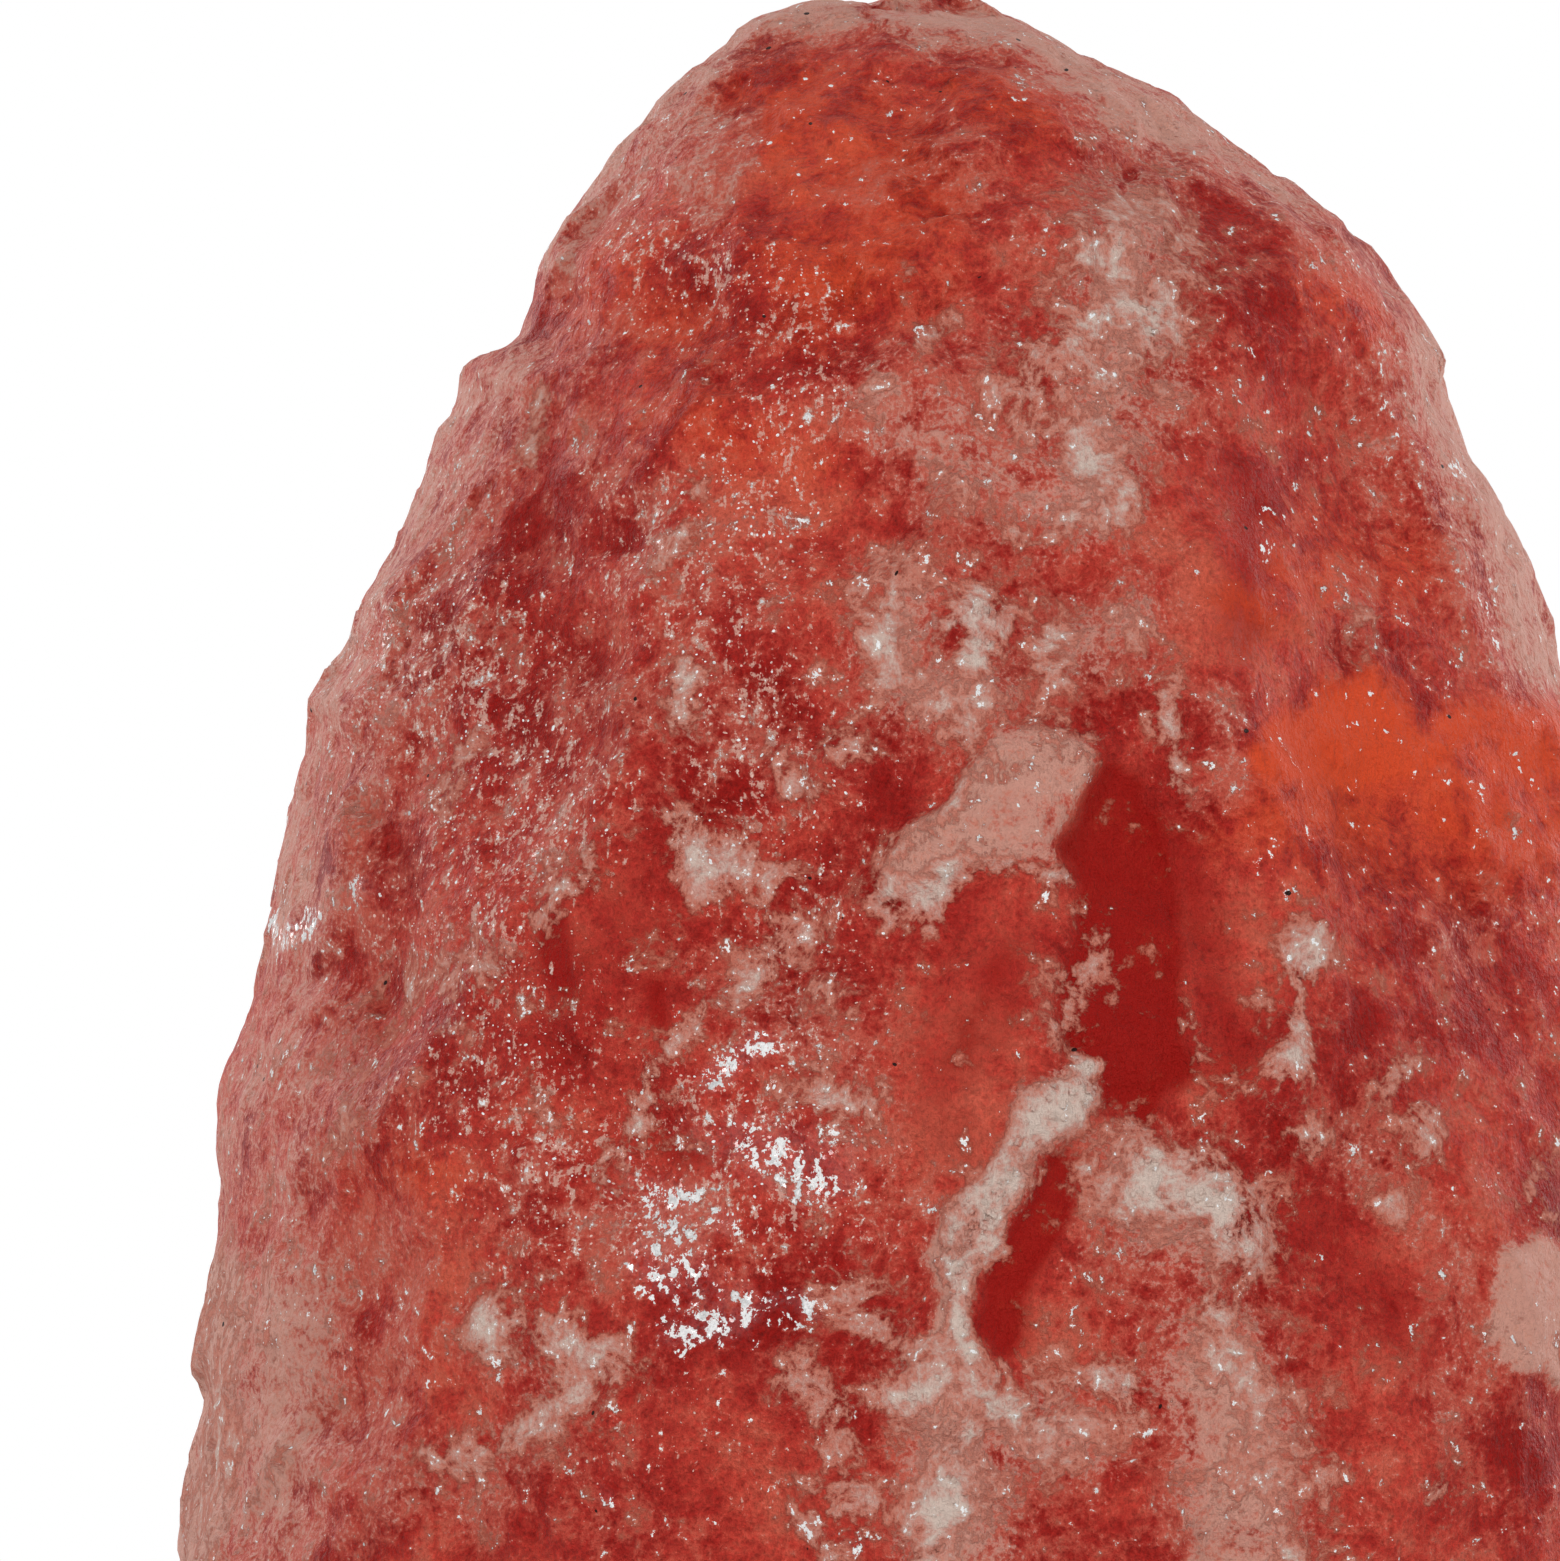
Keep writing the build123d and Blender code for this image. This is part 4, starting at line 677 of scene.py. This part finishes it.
# %% Rock salt: gloss and relief
facet = add("TexVoronoi", {"Vector": spot, "Scale": 3.2}, out=1)
turned = add("VectorMath.MULTIPLY_ADD", [facet, (1.3,) * 3, (-0.65,) * 3])
skin = add("NewGeometry", out=1)
tipped = add("VectorMath.ADD", [skin, turned])
facing = add("VectorMath.NORMALIZE", [tipped])
wet = add("Math.MULTIPLY_ADD", [layer["sparkle"], 0.45, layer["gloss_and_painted_glint"]])
height = uneven(streak, (1.5, 1.5, 0.65))
height = add("Math.MULTIPLY_ADD", [crust, 0.4, height])
fill(shader, {
    "Base Color": stone,
    "Roughness": add("MapRange", {0: crust, 3: 0.5, 4: 0.85}),
    "Specular IOR Level": 0.1,
    "Coat Weight": torn(wet, (1.2, 0.8, 0.0), 0.3, 1.0, 0.8),
    "Coat Roughness": 0.1,
    "Coat IOR": 1.5,
    "Coat Normal": facing,
    "Normal": add("Bump", {"Height": height, "Distance": 0.8 * mm, "Strength": 0.8}),
    "Sheen Weight": 0.06,
    "Sheen Roughness": 0.4,
    "Sheen Tint": "#E9CFC6",
})
rock.data.materials.clear()
rock.data.materials.append(salt)
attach(rock, "lamp_body")
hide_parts("salt_crystal")
print("rock salt:", len(salt.node_tree.nodes), "nodes")

# %% [markdown]
# ## Loose salt on the crust
# The whitest patches are crushed salt, and halite breaks into little cubes, so grains stand on them. A
# few thousand grains would take long to place by hand. Geometry Nodes scatter them: points on the faces,
# as dense as the crust attribute says, a small cube on each, turned and sized by a seeded random value.

# %% Trees of Geometry Nodes
def new_tree(name, **inputs):
    """A tree with named inputs by kind of socket. Returns it, its add, and its inputs inside the tree."""
    tree = bpy.data.node_groups.new(name, "GeometryNodeTree")
    tree.interface.new_socket("Geometry", in_out="INPUT", socket_type="NodeSocketGeometry")
    for kind, labels in inputs.items():
        for label in labels:
            tree.interface.new_socket(label, in_out="INPUT", socket_type="NodeSocket" + kind)
    tree.interface.new_socket("Geometry", in_out="OUTPUT", socket_type="NodeSocketGeometry")
    add = partial(add_node, tree)
    return tree, add, add("NodeGroupInput", out=None).outputs


def end_tree(add, geometry, material):
    """Ends a tree in Realize Instances and Set Material."""
    real = add("GeometryNodeRealizeInstances", [geometry])
    add("NodeGroupOutput", [add("GeometryNodeSetMaterial", {0: real, 2: material})], out=None)


def grow(piece, tree, **values):
    """Runs a tree on a piece with its named inputs and keeps the result as the piece's mesh."""
    modifier = piece.modifiers.new(tree.name, "NODES")
    modifier.node_group = tree
    for item in tree.interface.items_tree:
        label = item.name.lower().replace(" ", "_")
        if item.in_out == "INPUT" and label in values:
            modifier[item.identifier] = values[label]
    settle(piece)
    print(piece.name, len(piece.data.polygons), "faces from", tree.name)


# %% Salt grains
grain_tree, add, given = new_tree(
    "salt_grains", Float=["Density", "From Crust", "Smallest", "Largest"], Vector=["Lowest", "Highest"],
    Int=["Seed"], Material=["Material"])
crust_here = add("GeometryNodeInputNamedAttribute", ["crust"], data_type="FLOAT")
thick = add("MapRange", {0: crust_here, 1: given["From Crust"], 2: 1.0, 4: given["Density"]})
scattered = add("GeometryNodeDistributePointsOnFaces", {0: given["Geometry"], 4: thick, 6: given["Seed"]})
where = add("GeometryNodeInputPosition")
above = add("FunctionNodeCompare.GREATER_THAN", {4: where, 5: given["Lowest"]}, data_type="VECTOR")
below = add("FunctionNodeCompare.LESS_THAN", {4: where, 5: given["Highest"]}, data_type="VECTOR")
within = add("FunctionNodeBooleanMath.AND", [above, below])
sizes = add("FunctionNodeRandomValue", {2: given["Smallest"], 3: given["Largest"], 8: given["Seed"]}, out=1)
turns = add("FunctionNodeRandomValue", {1: (tau, tau, tau), 8: given["Seed"]}, data_type="FLOAT_VECTOR")
cube = add("GeometryNodeMeshCube", [(1.0, 0.85, 0.7)])
grains = add("GeometryNodeInstanceOnPoints", {0: scattered, 1: within, 2: cube, 5: turns, 6: sizes})
end_tree(add, grains, given["Material"])

# %% Scatter the grains
grains = bpy.data.objects.new("loose_salt_grains", rock.data.copy())
bpy.context.scene.collection.objects.link(grains)
clearance = 0.6 * mm
grow(grains, grain_tree, density=1.1e6, from_crust=0.86, smallest=0.25 * mm, largest=0.6 * mm, seed=7,
     lowest=rock_low + Vector((clearance, clearance, 4 * mm)), highest=rock_high - Vector((clearance,) * 3),
     material=salt)
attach(grains, "lamp_body")

# %% [markdown]
# ## Finishes for the CAD pieces
# The pieces below the rock are turned, pressed or moulded, and CAD has their shapes. They stay as they
# are, and each gets the finish of its real material. The patterns hang on each piece's own place in
# millimetres, so that they move with it.


# %% Dressing a CAD piece
def dress(material, *names):
    """Gives carried-over CAD pieces a finish."""
    for name in names:
        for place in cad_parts[name].material_slots:
            place.material = material
    print(material.name, "on", ", ".join(names))


# %% [markdown]
# ## Turned and oiled wood
# The base is turned from a board. Rings of the tree run through it as bands 2.4 mm apart, bent a
# little, with pores as short dark dashes along the grain. The lathe leaves fine rings round the axis.
# Real ones are 0.1 mm apart, and are drawn 0.5 mm apart so that they show.

# %% Wood
wood, add, shader, spot = new_material("wood_turned_and_oiled")
ring_gap, lathe_gap = 2.4, 0.5
one_wave = tau / 20  # the Wave texture has 20 radians to a unit
board = add("Mapping", {0: spot, 1: (0.0, 34.0, 70.0), 3: (0.12, 1.0, 1.0)})
rings = add("TexWave", {"Vector": board, "Scale": one_wave / ring_gap, "Distortion": 2.6, "Detail": 3.0,
                        "Detail Scale": 0.6}, out=1, wave_type="RINGS", wave_profile="SAW")
fibres = add("Mapping", {0: spot, 3: (0.12, 2.6, 2.6)})
pores = add("TexNoise", {"Vector": fibres, "Scale": 1.0, "Detail": 3.0, "Roughness": 0.7})
patina = add("TexNoise", {"Vector": spot, "Scale": 0.03, "Detail": 4.0})
lathe = add("TexWave", {"Vector": spot, "Scale": one_wave / lathe_gap, "Distortion": 0.4},
            out=1, wave_type="RINGS", rings_direction="Z")
late_wood = add("Math.MULTIPLY_ADD", [rings, 0.55, patina])
board_tint = add("ValToRGB", [late_wood], stops=(
    (0.42, "#9C6838"), (0.6, "#8F5C31"), (0.82, "#7A4B27"), (1.0, "#5E3A1E")))
pore_share = add("MapRange", {0: pores, 1: 0.56, 2: 0.68, 4: 0.8})
board_tint = add("Mix", {0: pore_share, 6: board_tint, 7: "#3A2010"}, **of_colours)
marks = add("Math.MULTIPLY_ADD", [lathe, -0.35, pores])
fill(shader, {
    "Base Color": board_tint,
    "Roughness": add("MapRange", {0: late_wood, 3: 0.34, 4: 0.56}),
    "Normal": add("Bump", {"Height": marks, "Distance": -0.12 * mm, "Strength": 0.7}),
})
dress(wood, "wooden_base")

# %% [markdown]
# ## Rubber, nylon, phenolic and steatite
# The mouldings differ in what their surface keeps. Rubber has a dull bloom and the fine pits of its
# mould, nylon is waxy with faint flow clouds, and pressed phenolic is dark, hard and glossy with swirls
# of its filler. Steatite is a fired ceramic: off-white, chalky, with tiny iron specks. One loop makes
# all four, because they share this build: two tints by a cloud, specks, and a fine bump.

# %% Mouldings
mouldings = {  # light tint, dark tint, speck tint, cloud mm, pit mm, roughness, bump mm, subsurface, pieces
    "rubber_moulded": ("#2E2D2C", "#1A1A1A", "#474543", 6.0, 0.35, (0.62, 0.85), 0.05, 0.0, ["rubber_feet"]),
    "nylon_moulded": ("#DED9CD", "#CDC6B6", "#BEB6A4", 5.0, 0.5, (0.38, 0.5), 0.02, 0.12, ["screw_plugs"]),
    "phenolic_pressed": ("#2C2019", "#1A120E", "#4A3426", 3.5, 0.3, (0.16, 0.32), 0.015, 0.0,
                         ["holder_cap", "holder_shell"]),
    "steatite_fired": ("#E8E2D4", "#DAD2C1", "#8C7A66", 4.0, 0.25, (0.55, 0.75), 0.03, 0.05,
                       ["contact_carrier"]),
}
for name, (light, dark, speck_tint, cloud_size, pit, rough, raise_by, inner, pieces) in mouldings.items():
    moulding, add, shader, spot = new_material(name)
    drift = add("TexNoise", {"Vector": spot, "Scale": 1 / cloud_size, "Detail": 5.0, "Distortion": 1.6})
    pits = add("TexNoise", {"Vector": spot, "Scale": 1 / pit, "Detail": 2.0})
    tint = add("ValToRGB", [drift], stops=((0.35, dark), (0.65, light)))
    speck = add("MapRange", {0: pits, 1: 0.66, 2: 0.72, 4: 0.7})
    tint = add("Mix", {0: speck, 6: tint, 7: speck_tint}, **of_colours)
    fill(shader, {
        "Base Color": tint,
        "Roughness": add("MapRange", [drift, 0.3, 0.7, rough[0], rough[1]]),
        "Subsurface Weight": inner,
        "Subsurface Scale": 1 * mm,
        "Normal": add("Bump", {"Height": pits, "Distance": raise_by * mm, "Strength": 0.6}),
    })
    dress(moulding, *pieces)

# %% [markdown]
# ## Metals
# All the metals are bare or thinly plated, so their colour is the colour of their reflection. Zinc
# plate has a spangle of crystals about 2 mm wide. Spring steel is brushed along the strip and keeps
# straw and blue tints from its tempering. Brass tarnishes in brown clouds, and solder sets in dull
# ripples. Drawn wire has fine lines along it. Brushing is a noise squeezed along one axis: real
# scratches are 0.02 mm apart, and are drawn 0.15 mm apart so that they show.

# %% Metals
metals = {  # tints from dark to light, cloud size in mm, share of spangle, squeeze, roughness, pieces
    "steel_zinc_plated": (("#8F9498", "#A9AEB2", "#C2C6C9"), 2.0, 0.35, (1.0, 6.0, 6.0), (0.26, 0.48), [
        "fixing_screws", "foot_screws", "mounting_plate", "lock_washer", "nipple_nut", "clip_rivets"]),
    "spring_steel_tempered": (("#6F7690", "#8E9096", "#A39781"), 7.0, 0.0, (6.0, 6.0, 0.3), (0.2, 0.36), [
        "clip_feet", "clip_left", "clip_right"]),
    "brass_pressed": (("#9C7838", "#BF9A52", "#D0AE66"), 4.0, 0.0, (6.0, 6.0, 1.0), (0.18, 0.42), [
        "centre_contact", "centre_terminal", "side_terminal", "terminal_screws"]),
    "solder_set": (("#8E8F90", "#ABADAF", "#C4C6C8"), 1.2, 0.2, (3.0, 3.0, 3.0), (0.3, 0.5), [
        "bulb_tip_contact"]),
    "nickel_wire_drawn": (("#8D8A81", "#A7A49B", "#BAB7AE"), 1.0, 0.0, (8.0, 8.0, 0.6), (0.22, 0.36), [
        "lead_wires", "support_wires"]),
    "tungsten_wire_drawn": (("#3E3E41", "#5A5A5C", "#6C6C70"), 0.6, 0.0, (2.0, 12.0, 12.0), (0.35, 0.5), []),
}
metal_finish = {}
for name, (tints, cloud_size, spangle, squeeze, rough, pieces) in metals.items():
    metal, add, shader, spot = new_material(name)
    brushed = add("Mapping", {0: spot, 3: squeeze})
    scratch = add("TexNoise", {"Vector": brushed, "Scale": 1.1, "Detail": 3.0, "Roughness": 0.7})
    crystal = add("TexVoronoi", {"Vector": spot, "Scale": 1 / cloud_size}, out=1)
    drift = add("TexNoise", {"Vector": spot, "Scale": 1 / cloud_size, "Detail": 4.0})
    level = add("Mix", {0: spangle, 2: drift, 3: crystal})
    level = add("Mix", {0: 0.25, 2: level, 3: scratch})
    tint = add("ValToRGB", [level], stops=[*zip((0.34, 0.5, 0.66), tints)])
    fill(shader, {
        "Base Color": tint,
        "Metallic": 1.0,
        "Roughness": add("MapRange", [level, 0.3, 0.7, rough[1], rough[0]]),
        "Normal": add("Bump", {"Height": scratch, "Distance": 0.02 * mm, "Strength": 0.5}),
    })
    metal_finish[name] = metal
    dress(metal, *pieces)

# %% [markdown]
# ## Glass
# The bulb is blown from clear soda glass: smooth, with faint waves from the blowing, so the light bends
# a little as it goes through. The insulator in the cap is black glass, poured and pressed, glossy with a
# few bubbles. What is the same all over clear glass is set on the shader's own sockets.

# %% Glass
clear_glass, add, shader, spot = new_material("glass_blown_clear")
waves = add("TexNoise", {"Vector": spot, "Scale": 0.16, "Detail": 1.0})
fill(shader, {
    "Base Color": "#FBFDFB",
    "Roughness": add("MapRange", {0: waves, 3: 0.0, 4: 0.03}),
    "IOR": 1.5,
    "Transmission Weight": 1.0,
    "Normal": add("Bump", {"Height": waves, "Distance": 0.15 * mm, "Strength": 0.4}),
})
dress(clear_glass, "bulb_glass", "bulb_stem")

black_glass, add, shader, spot = new_material("glass_poured_black")
bubbles = add("TexVoronoi", {"Vector": spot, "Scale": 1.2})
hollow = add("MapRange", [bubbles, 0.08, 0.14])
tint = add("Mix", {0: hollow, 6: "#2B2B31", 7: "#0D0D10"}, **of_colours)
fill(shader, {
    "Base Color": tint,
    "Roughness": add("MapRange", {0: hollow, 3: 0.35, 4: 0.1}),
    "Normal": add("Bump", {"Height": hollow, "Distance": 0.1 * mm, "Strength": 0.6}),
})
dress(black_glass, "bulb_insulator")

# %% [markdown]
# ## Rolled threads
# The bulb's cap and the screw shell are thin brass rolled into the rounded thread of a lamp, and the
# nipple has a fine cut thread. A thread is a wave that climbs one pitch a turn, so it follows a rule and
# suits Geometry Nodes: each point moves towards the axis by how deep the wave is at its height and
# angle. The crests stay at the CAD size. Cap and shell share one wave, so they mesh at every turn of
# the bulb. The tubes themselves are turned profiles, with rows close enough to carry the wave.

# %% Thread tree
thread_tree, add, given = new_tree(
    "screw_thread", Float=["Pitch", "Depth", "Start", "End", "Outside"], Material=["Material"])
where = add("GeometryNodeInputPosition")
parts = add("SeparateXYZ", [where], out=None).outputs
turn = add("Math.ARCTAN2", [parts[1], parts[0]])
climb = add("Math.DIVIDE", [parts[2], given["Pitch"]])
climb = add("Math.MULTIPLY", [climb, tau])
phase = add("Math.SUBTRACT", [climb, turn])
wave = add("Math.COSINE", [phase])
dip = add("MapRange", [wave, 1.0, -1.0])
run_in = add("Math.ADD", [given["Start"], given["Pitch"]])
run_out = add("Math.SUBTRACT", [given["End"], given["Pitch"]])
begins = add("MapRange", [parts[2], given["Start"], run_in], **smooth)
ends = add("MapRange", [parts[2], given["End"], run_out], **smooth)
level_place = add("VectorMath.MULTIPLY", [where, (1.0, 1.0, 0.0)])
radius = add("VectorMath.LENGTH", [level_place], out=1)
outer = add("Math.GREATER_THAN", [radius, given["Outside"]])
outwards = add("VectorMath.NORMALIZE", [level_place])
amount = add("Math.MULTIPLY", [given["Depth"], -1.0])
for share in (dip, begins, ends, outer):
    amount = add("Math.MULTIPLY", [amount, share])
offset = add("VectorMath.SCALE", {0: outwards, 3: amount})
end_tree(add, add("GeometryNodeSetPosition", {0: given["Geometry"], 3: offset}), given["Material"])
print("thread:", len(thread_tree.nodes), "nodes")


# %% Turned tubes
def turned_tube(name, outline, row_height, around):
    """A tube turned from a closed outline of (radius, height) in mm, with rows close together."""
    loop = []
    for (r0, z0), (r1, z1) in zip(outline, outline[1:] + outline[:1]):
        steps = max(1, round(abs(z1 - z0) / row_height))
        loop += [(r0 + (r1 - r0) * n / steps, z0 + (z1 - z0) * n / steps) for n in range(steps)]
    points = ring_points([(r * mm, z * mm) for r, z in loop], around)
    tube = new_piece(name, points, ring_faces(len(loop), around, closed=True))
    tube.data.shade_smooth()
    return tube


def check_outwards(piece):
    """Turns a closed piece's faces outwards."""
    work = bmesh.new()
    work.from_mesh(piece.data)
    bmesh.ops.recalc_face_normals(work, faces=work.faces)
    volume = work.calc_volume(signed=True)
    work.to_mesh(piece.data)
    work.free()
    piece.data.set_sharp_from_angle(angle=radians(40))
    print(piece.name, "holds", round(volume / mm ** 3, 1), "cubic mm")


# %% Outlines of the threaded tubes
lamp_thread = 2.822, 0.8  # pitch and depth of the 14 mm lamp thread
foot_curve = [(5.75 + 1.2 * sin(a), 49.2 - 1.2 * cos(a)) for a in np.linspace(0, pi / 2, 8)]
threaded = {  # node, body, outline, (pitch, depth, from, to, least radius that moves), row height, around
    "brass_bulb_cap": ("bulb_cap", "bulb", [
        (5.45, 48.0), *foot_curve, (6.95, 63.8), (7.7, 66.0), (7.4, 66.0), (6.65, 63.8), (6.65, 49.2),
        (5.45, 48.3)], (*lamp_thread, 49.4, 63.0, 0.0), 0.2, 96),
    "brass_screw_shell": ("screw_shell", "lamp_unit", [
        (5.4, 45.6), (7.65, 45.6), (7.65, 60.3), (8.45, 61.1), (8.1, 61.1), (7.3, 60.3), (7.3, 45.95),
        (5.4, 45.95)], (*lamp_thread, 46.4, 60.2, 0.0), 0.2, 96),
    "threaded_nipple": ("hollow_nipple", "lamp_unit", [
        (3.75, 8.2), (4.6, 8.2), (5.0, 8.6), (5.0, 22.4), (4.6, 22.8), (3.75, 22.8)],
        (1.0, 0.55, 8.0, 23.0, 4.5), 0.1, 48),
}
print(len(threaded), "tubes, all in millimetres")

# %% Turn and thread the three tubes
zinc, brass = ("steel_zinc_plated", "zinc_steel"), ("brass_pressed", "bare_brass")  # finish, slot
for name, (node, body, outline, thread, row_height, around) in threaded.items():
    metal, slot = zinc if name == "threaded_nipple" else brass
    tube = turned_tube(name, outline, row_height, around)
    sizes = {label: size * mm for label, size in zip(("pitch", "depth", "start", "end", "outside"), thread)}
    grow(tube, thread_tree, material=metal_finish[metal], **sizes)
    check_outwards(tube)
    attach(tube, body)
    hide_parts(node)

# %% [markdown]
# ## The filament
# The filament is a fine tungsten wire wound into a coil, hung in a low bow between the two leads. CAD
# has only the coil's outer size. Winding a wire round a path is again a rule: Geometry Nodes resample
# the bow, push each point out sideways by an angle that grows with its length, and give the line a
# round section. The real coil has hundreds of turns, and is drawn with 40 so that they show.

# %% Filament tree
coil_tree, add, given = new_tree(
    "coiled_wire", Float=["Coil Radius", "Wire Radius", "Pitch", "Step"], Material=["Material"])
path = add("GeometryNodeMeshToCurve", [given["Geometry"]])
path = add("GeometryNodeResampleCurve", {0: path, 3: given["Step"]}, mode="LENGTH")
along = add("GeometryNodeSplineParameter", out=1)
turn = add("Math.DIVIDE", [along, given["Pitch"]])
turn = add("Math.MULTIPLY", [turn, tau])
tangent = add("GeometryNodeInputTangent")
sideways = add("VectorMath.CROSS_PRODUCT", [tangent, (0.0, 1.0, 0.0)])
aside = add("VectorMath.SCALE", {0: sideways, 3: add("Math.COSINE", [turn])})
across = add("CombineXYZ", {1: add("Math.SINE", [turn])})
ring = add("VectorMath.ADD", [aside, across])
offset = add("VectorMath.SCALE", {0: ring, 3: given["Coil Radius"]})
coil = add("GeometryNodeSetPosition", {0: path, 3: offset})
section = add("GeometryNodeCurvePrimitiveCircle", {0: 7, 4: given["Wire Radius"]})
wound = add("GeometryNodeCurveToMesh", {"Curve": coil, "Profile Curve": section, "Fill Caps": True})
end_tree(add, wound, given["Material"])
print("coil:", len(coil_tree.nodes), "nodes")

# %% Filament
half_span, ends_z, bow_rise = 6.75, 89.3, 1.6
bow = [(x * mm, 0, (ends_z + bow_rise * (1 - (x / half_span) ** 2)) * mm)
       for x in np.linspace(-half_span, half_span, 41)]
filament = new_piece("coiled_filament", bow, [], [(n, n + 1) for n in range(len(bow) - 1)])
grow(filament, coil_tree, coil_radius=0.27 * mm, wire_radius=0.09 * mm, pitch=0.35 * mm, step=0.03 * mm,
     material=metal_finish["tungsten_wire_drawn"])
check_outwards(filament)
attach(filament, "bulb")
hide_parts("filament")
